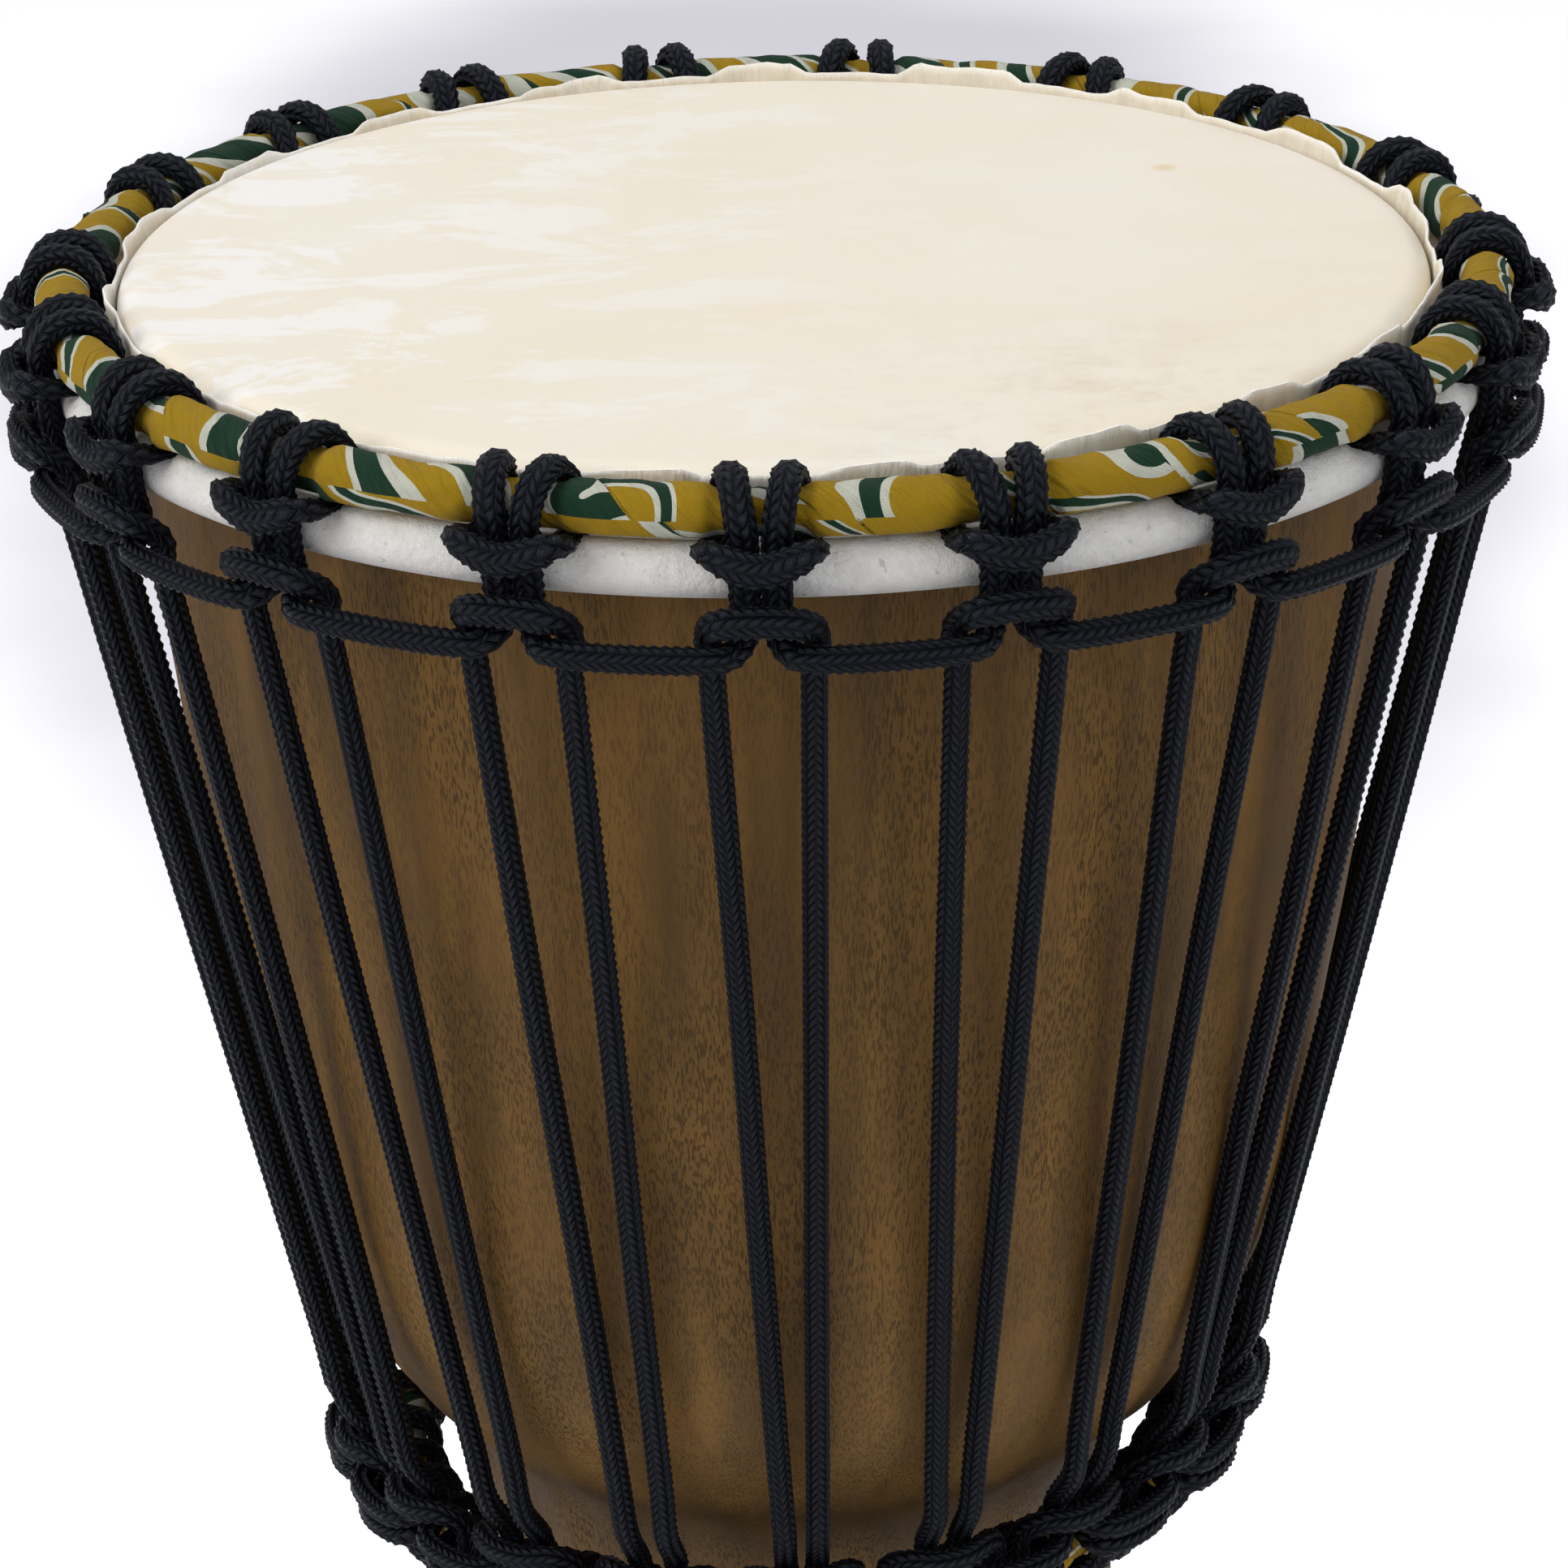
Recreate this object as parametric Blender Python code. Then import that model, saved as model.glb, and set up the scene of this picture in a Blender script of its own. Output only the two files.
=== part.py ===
"""Rope-tuned djembe: a carved goblet shell, a goatskin head folded round a steel flesh ring,
a cloth-wrapped crown ring above it, a cloth-wrapped cradle ring under the bowl, a row of cow
hitches on each ring and one long tuning rope that laces the two rows together.

The origin is at the middle of the foot, on the floor. +Z points up to the playing head.
"""
import math

import bmesh
import bpy
from mathutils import Vector

MM = 0.001

# Driving dimensions
HEIGHT = 500 * MM               # floor to playing surface
KNOTS = 19                      # cow hitches on each ring
CLEARANCE = 0.3 * MM            # gap between pieces that touch

SKIN_THICKNESS = 0.9 * MM
RIM_RADIUS = 124.5 * MM         # outside of the shell at its bearing edge
BEARING_ROUND = 3.5 * MM        # outer round of the bearing edge
WALL = 12 * MM                  # shell wall at the bowl

CROWN_RADIUS = 136 * MM         # centre line of the crown ring
CROWN_DROP = 3.5 * MM           # crown ring's centre below the playing surface
FLESH_RADIUS = 134 * MM         # centre line of the flesh ring
FLESH_DROP = 10.5 * MM          # flesh ring's centre below the crown ring's
CRADLE_RADIUS = 83.5 * MM       # centre line of the cradle ring
CRADLE_DROP = 250.6 * MM        # cradle ring's centre below the crown ring's
CRADLE_TILT = 0.06              # rise of the cradle ring towards +X
ROD_RADIUS = 3.0 * MM           # steel rod of all three rings
CLOTH_RADIUS = 5.1 * MM         # outside of the cloth wrap
CLOTH_FLAT = 3.9 * MM           # the wrap is pressed flat this far under the crown ring
WRAP_BORE = 3.5 * MM            # inside of the cloth wrap, loose on its rod
WRAP_SLIT = 24                  # degrees left open along the seam of a cloth wrap
SKIN_FOLD = 2.1 * MM            # folded skin round the outside of the flesh ring
TAIL_THICKNESS = 0.8 * MM       # trimmed skin that stands up inside the crown ring

ROPE_RADIUS = 2.5 * MM          # 5 mm braided rope
ROPE_SIDES = 4
CROWN_LACING = 142 * MM         # radius at which distances along the crown hitches are measured
CRADLE_LACING = 95 * MM         # the same for the cradle hitches

CROWN_Z = HEIGHT - CROWN_DROP
CRADLE_Z = CROWN_Z - CRADLE_DROP
PITCH = 2 * math.pi / KNOTS     # even angle from one hitch to the next
FRONT = -math.pi / 2            # the first hitch of the crown faces -Y
TWIST = math.radians(1.5)       # turn of the cradle hitches from halfway between the crown's
# Degrees that each crown hitch stands off its even place, from the front one round by +X
DRIFT = (0, -1.7, -2.6, -3.8, -5.5, -6.1, -2.4, -0.8, 0, 2.5, 2.2, 2.2, 1.9, 2.0, 5.6, 4.1, 2.5,
         1.4, 1.7)

WOOD = ("shell_wood", (0.27, 0.155, 0.075), 0.62, 0.0)
SKIN = ("goatskin", (0.86, 0.80, 0.68), 0.55, 0.0)
STEEL = ("ring_steel", (0.45, 0.45, 0.46), 0.38, 1.0)
CLOTH = ("printed_cotton", (0.46, 0.30, 0.03), 0.85, 0.0)
ROPE = ("black_rope", (0.012, 0.012, 0.018), 0.6, 0.0)


def clear_scene():
    """Remove every object that the scene starts with."""
    for scene_object in list(bpy.data.objects):
        bpy.data.objects.remove(scene_object, do_unlink=True)


def finish_material(name, colour, roughness, metallic):
    """A plain Principled material."""
    material = bpy.data.materials.get(name) or bpy.data.materials.new(name)
    material.use_nodes = True
    shader = material.node_tree.nodes["Principled BSDF"]
    shader.inputs["Base Color"].default_value = (*colour, 1.0)
    shader.inputs["Roughness"].default_value = roughness
    shader.inputs["Metallic"].default_value = metallic
    return material


def add_object(name, mesh_builder, finish):
    """Turn a bmesh into a smooth-shaded object with its own material slot."""
    bmesh.ops.recalc_face_normals(mesh_builder, faces=mesh_builder.faces)
    mesh = bpy.data.meshes.new(name)
    mesh_builder.to_mesh(mesh)
    mesh_builder.free()
    mesh.materials.append(finish_material(*finish))
    mesh.shade_smooth()
    mesh.set_sharp_from_angle(angle=math.radians(40))
    made = bpy.data.objects.new(name, mesh)
    bpy.context.collection.objects.link(made)
    return made


def crown_angle(knot):
    """Where a crown hitch stands round the drum."""
    return FRONT + knot * PITCH + math.radians(DRIFT[knot % KNOTS])


def cradle_angle(knot):
    """Where the cradle hitch between a crown hitch and the next one stands."""
    return (crown_angle(knot) + crown_angle(knot + 1)) / 2 + TWIST


def lathe(name, outline, finish, tilt=0.0):
    """Spin a closed outline of (radius, height) points round Z, with a flat under each hitch."""
    builder = bmesh.new()
    edges_of_flats = [
        crown_angle(knot) + side * PITCH / 4 for knot in range(KNOTS + 1) for side in (-1, 1)
    ]
    start = edges_of_flats[0]
    corners = [
        builder.verts.new((radius * math.cos(start), radius * math.sin(start), height))
        for radius, height in outline
    ]
    edges = [
        builder.edges.new((corners[i], corners[(i + 1) % len(corners)]))
        for i in range(len(corners))
        if outline[i][0] > 0 or outline[(i + 1) % len(outline)][0] > 0
    ]
    profile = corners + edges
    for before, after in zip(edges_of_flats, edges_of_flats[1:-1]):
        profile = bmesh.ops.spin(
            builder, geom=profile, axis=(0, 0, 1), cent=(0, 0, 0), angle=after - before, steps=1,
        )["geom_last"]
    bmesh.ops.remove_doubles(builder, verts=builder.verts, dist=0.001 * MM)
    for vertex in builder.verts:
        vertex.co.z += tilt * vertex.co.x
    return add_object(name, builder, finish)


def arc(centre, radius, start, end, steps):
    """Points on a round, from one angle to another in degrees."""
    points = []
    for step in range(steps + 1):
        angle = math.radians(start + (end - start) * step / steps)
        points.append((centre[0] + radius * math.cos(angle), centre[1] + radius * math.sin(angle)))
    return points


def offset_outline(spine):
    """The outline of a sheet from its middle line, given as (radius, height, thickness)."""
    outer, inner = [], []
    for index, (radius, height, thickness) in enumerate(spine):
        before = spine[max(index - 1, 0)]
        after = spine[min(index + 1, len(spine) - 1)]
        along = Vector((after[0] - before[0], after[1] - before[1])).normalized()
        side = Vector((-along.y, along.x)) * thickness / 2
        if radius == 0:
            side = Vector((0, thickness / 2))
        outer.append((radius + side.x, height + side.y))
        inner.append((radius - side.x, height - side.y))
    return outer + inner[::-1]


# The turned pieces

def shell():
    """The goblet: bearing edge, tapered bowl, waist, flared stem and flat annular foot."""
    rim = (RIM_RADIUS - BEARING_ROUND, HEIGHT - SKIN_THICKNESS - CLEARANCE - BEARING_ROUND)
    bowl = [(123.4, 25), (122.0, 50), (117.0, 95), (110.5, 140), (103.5, 180), (95.0, 208)]
    turn = [(84.5, 226), (74.5, 237), (70.0, 246), (67.5, 260), (66.5, 278)]
    stem = [(67.5, 305), (71.0, 350), (77.0, 405), (84.0, 460)]
    outside = arc(rim, BEARING_ROUND, 90, 0, 3)
    outside += [(radius * MM, CROWN_Z - drop * MM) for radius, drop in bowl + turn + stem]
    outside += [(88.5 * MM, 6 * MM), (87.0 * MM, 0.0)]
    inner_stem = [(75.0, 470), (67.0, 405), (59.5, 340), (54.5, 285)]
    inner_bowl = [(60.0, 256), (76.0, 224), (90.5, 180), (98.5, 140), (107.5, 80), (111.5, 25)]
    inside = [(77.0 * MM, 0.0)]
    inside += [(radius * MM, CROWN_Z - drop * MM) for radius, drop in inner_stem + inner_bowl]
    inside += [(RIM_RADIUS - WALL, rim[1] - 2 * MM), (rim[0] - 3 * MM, rim[1] + BEARING_ROUND)]
    return lathe("shell", outside + inside, WOOD)


def ring_rod(name, radius, height, tilt=0.0):
    """One welded ring of round steel rod."""
    outline = arc((radius, height), ROD_RADIUS, 0, 288, 4)
    return lathe(name, outline, STEEL, tilt)


def cloth_wrap(name, radius, height, flat, tilt=0.0):
    """The printed cotton wound round a ring, open along its seam and flat where it is pressed."""
    seam = 180
    first, last = seam + WRAP_SLIT / 2, seam + 360 - WRAP_SLIT / 2
    outer = [
        (x, max(z, height - flat)) for x, z in arc((radius, height), CLOTH_RADIUS, first, last, 7)
    ]
    inner = arc((radius, height), WRAP_BORE, last, first, 6)
    return lathe(name, outer + inner, CLOTH, tilt)


def drumhead():
    """The skin: flat head, rounded edge, fold round the flesh ring and a trimmed tail."""
    edge = (RIM_RADIUS - BEARING_ROUND, HEIGHT - SKIN_THICKNESS - CLEARANCE - BEARING_ROUND)
    middle = BEARING_ROUND + CLEARANCE + SKIN_THICKNESS / 2
    spine = [(0.0, HEIGHT - SKIN_THICKNESS / 2, SKIN_THICKNESS)]
    spine += [(x, z, SKIN_THICKNESS) for x, z in arc(edge, middle, 90, 0, 3)]
    spine.append((edge[0] + middle, CROWN_Z - 5 * MM, SKIN_THICKNESS))
    fold = (FLESH_RADIUS, CROWN_Z - FLESH_DROP)
    bore = ROD_RADIUS + CLEARANCE
    for angle in (205, 237, 270, 303, 336, 369, 402, 437, 482):
        thickness = SKIN_FOLD if 205 < angle < 430 else SKIN_THICKNESS
        x, z = arc(fold, bore + thickness / 2, angle, angle, 1)[0]
        spine.append((x, z, thickness))
    tail = [(127.6, -6.2), (126.35, -3.6), (126.35, 4.6)]
    spine += [(x * MM, CROWN_Z + z * MM, TAIL_THICKNESS) for x, z in tail]
    return lathe("drumhead", offset_outline(spine), SKIN)


# The lacing. A route point is (along, radius, height, press, spread, facing) in a hitch's own
# frame. The first three are millimetres: along the ring, out from the drum's axis, and up from
# the ring's centre. Press is the rope's half thickness towards what it presses on and spread its
# half width, both as parts of its free radius. Facing is in degrees: 0 out from the drum, 90 up.

def wrapped(ring_radius, steps):
    """Rope laid round a ring's cloth. A step is (facing, along, reach from the rod, press)."""
    points = []
    for facing, along, reach, press in steps:
        angle = math.radians(facing)
        radius = ring_radius / MM + reach * math.cos(angle)
        points.append((along, radius, reach * math.sin(angle), press, 1.08, facing))
    return points


def crown_hitch_half():
    """From the run beside a crown hitch to the middle of its collar, on the -along side."""
    leg = [
        (-9.2, 145.2, -23.2, 1.0, 1.0, 0),
        (-5.2, 143.6, -23.0, 1.0, 1.0, 0),
        (-3.1, 140.3, -20.0, 0.92, 1.0, 0),
        (-2.8, 141.6, -13.0, 0.92, 1.0, 0),
        (-2.9, 141.9, -5.8, 0.8, 1.0, 0),
    ]
    wrap = wrapped(CROWN_RADIUS, [
        (5, -3.3, 7.8, 0.88),
        (60, -4.6, 8.4, 0.92),
        (115, -5.8, 8.3, 0.84),
        (172, -7.0, 7.4, 0.64),
    ])
    nip = [
        (-8.0, 130.3, -5.2, 0.38, 1.12, 235),
        (-9.0, 139.4, -5.1, 0.38, 1.08, 290),
        (-9.3, 145.6, -4.9, 0.9, 1.0, 335),
    ]
    return leg + wrap + nip


def cradle_hitch_half():
    """The same hitch on the cradle ring, with its run above it."""
    leg = [
        (-11.6, 97.4, 15.6, 1.0, 1.0, 0),
        (-6.4, 94.8, 15.6, 1.0, 1.0, 0),
        (-3.4, 91.4, 12.8, 0.96, 1.0, 0),
    ]
    wrap = wrapped(CRADLE_RADIUS, [
        (-5, -2.9, 8.0, 0.92),
        (-60, -4.4, 8.5, 0.92),
        (-115, -5.8, 8.3, 0.84),
        (-172, -7.0, 7.7, 0.64),
        (-228, -7.8, 8.1, 0.64),
    ])
    nip = [
        (-8.6, 86.4, 7.3, 0.76, 1.08, -285),
        (-8.9, 94.6, 4.6, 0.96, 1.0, -350),
    ]
    return leg + wrap + nip


def crown_turn_half():
    """The tuning rope from behind a crown run to the bar over the hitch's two legs."""
    return [
        (-8.9, 139.7, -26.6, 0.96, 0.96, 0),
        (-9.4, 140.2, -21.0, 0.96, 0.96, 0),
        (-6.6, 145.9, -16.6, 0.96, 0.96, 0),
    ]


def cradle_turn_half():
    """The tuning rope from above a cradle run, behind it, to the bar over the two legs."""
    return [
        (-11.2, 98.2, 27.0, 0.96, 0.96, 0),
        (-11.2, 91.8, 16.2, 0.96, 0.96, 0),
        (-11.8, 92.9, 11.0, 0.96, 0.96, 0),
        (-8.4, 97.0, 9.4, 0.96, 0.96, 0),
    ]


def tail_half():
    """A cut end of the tuning rope: behind the run and down over the cradle ring's cloth."""
    return [
        (-11.2, 98.2, 27.0, 0.96, 0.96, 0),
        (-11.4, 91.8, 15.8, 0.96, 0.96, 0),
        (-14.4, 92.2, 8.0, 0.96, 0.96, 0),
        (-14.8, 92.0, 0.0, 0.96, 0.96, 0),
        (-14.8, 91.6, -26.0, 0.96, 0.96, 0),
    ]


def mirrored(route):
    """The same stretch on the +along side, travelled the other way."""
    return [(-point[0], *point[1:]) for point in reversed(route)]


def placed(route, angle, ring_z, lacing_radius, tilt):
    """Route points in the drum's frame, as (position, facing vector, press, spread)."""
    points = []
    for along, radius, height, press, spread, facing in route:
        turn = angle + along * MM / lacing_radius
        outward = Vector((math.cos(turn), math.sin(turn), 0))
        position = outward * radius * MM
        position.z = ring_z + height * MM + tilt * position.x
        face = outward * math.cos(math.radians(facing))
        face.z = math.sin(math.radians(facing))
        points.append((position, face, press * ROPE_RADIUS, spread * ROPE_RADIUS))
    return points


def on_crown(route, knot):
    """A stretch of rope at one crown hitch."""
    return placed(route, crown_angle(knot), CROWN_Z, CROWN_LACING, 0.0)


def on_cradle(route, knot):
    """A stretch of rope at the cradle hitch between a crown hitch and the next one."""
    return placed(route, cradle_angle(knot), CRADLE_Z, CRADLE_LACING, CRADLE_TILT)


def rope(name, points, closed):
    """Sweep an oval section along placed route points."""
    builder = bmesh.new()
    count = len(points)
    rings = []
    for index, (position, face, press, spread) in enumerate(points):
        before = points[index - 1][0] if closed or index > 0 else position
        after = points[(index + 1) % count][0] if closed or index < count - 1 else position
        along = (after - before).normalized()
        out = (face - face.dot(along) * along).normalized()
        side = along.cross(out)
        rings.append([
            builder.verts.new(
                position
                + out * press * math.cos(2 * math.pi * corner / ROPE_SIDES)
                + side * spread * math.sin(2 * math.pi * corner / ROPE_SIDES)
            )
            for corner in range(ROPE_SIDES)
        ])
    for index in range(count if closed else count - 1):
        ring, following = rings[index], rings[(index + 1) % count]
        for corner in range(ROPE_SIDES):
            other = (corner + 1) % ROPE_SIDES
            builder.faces.new((ring[corner], ring[other], following[other], following[corner]))
    if not closed:
        builder.faces.new(rings[0])
        builder.faces.new(rings[-1])
    bmesh.ops.triangulate(builder, faces=builder.faces)
    return add_object(name, builder, ROPE)


def hitch_rope(name, half, middle, place):
    """A rope that goes once round the drum, making a cow hitch at each knot."""
    points = []
    for knot in range(KNOTS):
        points += place(half + [middle] + mirrored(half), knot)
    return rope(name, points, closed=True)


def tuning_rope():
    """The long rope: up round each crown hitch, down round the next cradle hitch."""
    last = KNOTS // 2               # its two ends meet at the back
    points = on_cradle(mirrored(tail_half()), last)
    for step in range(KNOTS):
        knot = last + 1 + step
        points += on_crown(crown_turn_half() + mirrored(crown_turn_half()), knot)
        if step < KNOTS - 1:
            points += on_cradle(cradle_turn_half() + mirrored(cradle_turn_half()), knot)
    points += on_cradle(tail_half(), last)
    return rope("tuning_rope", points, closed=False)


def main():
    clear_scene()
    shell()
    drumhead()
    ring_rod("flesh_ring", FLESH_RADIUS, CROWN_Z - FLESH_DROP)
    ring_rod("crown_ring", CROWN_RADIUS, CROWN_Z)
    ring_rod("cradle_ring", CRADLE_RADIUS, CRADLE_Z, CRADLE_TILT)
    cloth_wrap("crown_ring_cloth", CROWN_RADIUS, CROWN_Z, CLOTH_FLAT)
    cloth_wrap("cradle_ring_cloth", CRADLE_RADIUS, CRADLE_Z, CLOTH_RADIUS, CRADLE_TILT)
    hitch_rope("crown_hitch_rope", crown_hitch_half(), (0, 147.7, -5.6, 0.88, 1.0, 360), on_crown)
    hitch_rope("cradle_hitch_rope", cradle_hitch_half(), (0, 97.0, 4.4, 1.0, 1.0, -360),
               on_cradle)
    tuning_rope()


main()
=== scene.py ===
"""Looks of a rope-tuned djembe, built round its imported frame.

The carved goblet, the goatskin head, the printed cotton round both rings and the braided rope of
the hitches and the tuning laces each have their own operator, and so has the stage.
"""
import math

import bmesh
import bpy
import numpy as np
from bpy.props import FloatProperty, FloatVectorProperty, IntProperty, PointerProperty
from mathutils import Matrix, Vector, noise


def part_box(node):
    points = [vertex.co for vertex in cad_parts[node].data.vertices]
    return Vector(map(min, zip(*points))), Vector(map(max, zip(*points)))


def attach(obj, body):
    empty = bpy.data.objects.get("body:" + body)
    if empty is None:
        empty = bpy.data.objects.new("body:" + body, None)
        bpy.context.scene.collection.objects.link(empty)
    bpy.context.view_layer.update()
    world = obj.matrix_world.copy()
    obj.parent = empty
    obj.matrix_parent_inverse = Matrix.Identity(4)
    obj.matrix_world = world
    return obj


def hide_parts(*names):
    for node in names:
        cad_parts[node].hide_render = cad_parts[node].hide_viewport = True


bl_info = {
    "name": "Djembe looks",
    "version": (1, 0, 0),
    "blender": (4, 5, 0),
    "location": "View3D > Sidebar > Djembe",
    "description": "Carved goblet, goatskin head, cloth-wrapped rings and braided lacing",
    "category": "Object",
}

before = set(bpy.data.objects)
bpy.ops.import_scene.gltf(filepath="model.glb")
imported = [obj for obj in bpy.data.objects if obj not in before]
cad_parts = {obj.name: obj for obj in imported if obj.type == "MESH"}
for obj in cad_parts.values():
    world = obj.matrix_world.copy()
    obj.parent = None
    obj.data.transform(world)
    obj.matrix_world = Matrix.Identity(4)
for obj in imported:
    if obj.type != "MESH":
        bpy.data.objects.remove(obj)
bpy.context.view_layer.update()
MM = 0.001
HEAD_RISE = 3.5                 # the head above the crown ring's centre, in millimetres

# Places taken from the frame, in metres
CROWN_Z = (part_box("crown_ring")[0].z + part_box("crown_ring")[1].z) / 2
CRADLE_Z = (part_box("cradle_ring")[0].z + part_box("cradle_ring")[1].z) / 2
HEAD_Z = CROWN_Z + HEAD_RISE * MM

# Sizes shared with the drum's frame, in millimetres and degrees
KNOTS = 19
CROWN_RADIUS = 136.0
CRADLE_RADIUS = 83.5
CRADLE_TILT = 0.06
FLESH_RADIUS = 134.0
FLESH_DROP = 10.5
CROWN_LACING = 142.0
CRADLE_LACING = 95.0
ROPE_RADIUS = 2.5
EDGE_CENTRE = (121.0, -1.2)     # of the bearing edge's round, from the crown ring's centre
EDGE_ROUND = 3.5
FRONT = -90.0
TWIST = 1.5
DRIFT = (0, -1.7, -2.6, -3.8, -5.5, -6.1, -2.4, -0.8, 0, 2.5, 2.2, 2.2, 1.9, 2.0, 5.6, 4.1, 2.5,
         1.4, 1.7)

# The braid, in millimetres
WALES = 8                       # columns of strand floats round the braid
SIDES = 2 * WALES               # mesh points round the braid
ROUTE_STEP = 0.5                # length of one edge of a rope's route
LONG_SPAN = 60.0                # a straight stretch of rope longer than this may bow
WRAP_SPREAD = 1.15              # how much wider the rope lies where it is pulled over a ring

# The printed cotton, in millimetres
STRIP_WIDTH = 31.0              # of the cotton before it is wound
STRIP_LEAN = 0.8                # how far a lap runs along its ring for its way round the sleeve
SLEEVE_RADIUS = 5.1             # the wound cotton's mean outer radius
PRINT_REPEAT = 56.0
TWILL_PITCH = 0.62              # from one twill line to the next
CROSS_PITCH = 0.42              # from one crossing thread to the next
# painted shade in the hollows between the twill's threads
WEAVE_HOLLOW_SHADE = (0.02, 0.02, 0.015, 1.0)
TIRED_PRINT = (0.01, 0.01, 0.008, 1.0)

# Marks on the goatskin, in metres, and the painted highlight along the trimmed edge of its lip
LIP_EDGE_HIGHLIGHT = (0.98, 0.95, 0.88, 1.0)
STAIN = (0.50, 0.36, 0.20, 1.0)
STAIN_PLACE = (0.062, -0.100, HEAD_Z)
STAIN_REACH = 0.07
SPOT = (0.75, 0.5, 0.16, 1.0)
SPOT_PLACE = (0.078, 0.052, HEAD_Z)
SPOT_REACH = 0.004

# The painted shadow on the paper behind the drum, in metres, and the paper's painted glow seen only
# by the camera
PAINTED_SHADOW_CENTRE = (-0.04, 1.45, 0.0)
PAINTED_SHADOW_HALF = (0.50, 1.10)
PAINTED_GLOW_IN_SHADOW = 0.26
PAINTED_GLOW_ON_PAPER = 0.46


# Nodes

class Nodes:
    """Adds and joins the nodes of one tree."""

    def __init__(self, tree):
        self.tree = tree

    def put(self, socket, value):
        """Set a socket, or join another one to it."""
        if isinstance(value, bpy.types.NodeSocket):
            self.tree.links.new(value, socket)
        elif isinstance(value, bpy.types.Node):
            self.tree.links.new(value.outputs[0], socket)
        elif value is not None:
            socket.default_value = value

    def add(self, kind, inputs=(), **settings):
        """One node; inputs are (name or number, value or socket) pairs."""
        node = self.tree.nodes.new(kind)
        for name, value in settings.items():
            setattr(node, name, value)
        for name, value in dict(inputs).items():
            self.put(node.inputs[name], value)
        return node

    def math(self, operation, first, second=None, third=None):
        """A Math node's result."""
        node = self.add("ShaderNodeMath", {0: first, 1: second, 2: third}, operation=operation)
        return node.outputs[0]

    def vector(self, operation, first, second=None, scale=None):
        """A Vector Math node's result."""
        node = self.add("ShaderNodeVectorMath", {0: first, 1: second}, operation=operation)
        self.put(node.inputs[3], scale)
        return node.outputs[1 if operation in ("DOT_PRODUCT", "LENGTH", "DISTANCE") else 0]

    def mix(self, factor, first, second):
        """A colour mix."""
        node = self.add("ShaderNodeMix", data_type="RGBA")
        for socket, value in zip((0, 6, 7), (factor, first, second)):
            self.put(node.inputs[socket], value)
        return node.outputs[2]

    def ramp(self, factor, stops, interpolation="LINEAR"):
        """A colour ramp; stops are (position, grey or colour)."""
        node = self.add("ShaderNodeValToRGB", {"Fac": factor})
        node.color_ramp.interpolation = interpolation
        elements = node.color_ramp.elements
        while len(elements) < len(stops):
            elements.new(1.0)
        for element, (position, tint) in zip(elements, stops):
            element.position = position
            element.color = (*((tint,) * 3 if isinstance(tint, (int, float)) else tint), 1.0)
        return node.outputs[0]

    def noise(self, where, scale, detail=3.0, roughness=0.5, distortion=0.0):
        """A noise texture's value."""
        node = self.add("ShaderNodeTexNoise", {
            "Vector": where, "Scale": scale, "Detail": detail, "Roughness": roughness,
            "Distortion": distortion,
        })
        return node.outputs["Fac"]

    def stretched(self, where, scale):
        """Coordinates scaled by a vector."""
        return self.vector("MULTIPLY", where, scale)


def material(name):
    """An empty Principled material with its node adder and shader."""
    made = bpy.data.materials.new(name)
    made.use_nodes = True
    nodes = Nodes(made.node_tree)
    shader = made.node_tree.nodes["Principled BSDF"]
    return made, nodes, shader


def relief(nodes, shader, steps):
    """Chain bumps into a shader's normal; steps are (height, distance in metres, strength)."""
    last = None
    for height, distance, strength in steps:
        bump = nodes.add("ShaderNodeBump", {
            "Height": height, "Distance": distance, "Strength": strength, "Normal": last,
        })
        last = bump.outputs["Normal"]
    nodes.put(shader.inputs["Normal"], last)


def rgb(colour):
    """A property colour as four numbers."""
    return (*colour[:3], 1.0)


def shade(colour, by):
    """A colour made lighter or darker."""
    return tuple(channel * by for channel in colour[:3])


# Finishes

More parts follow.
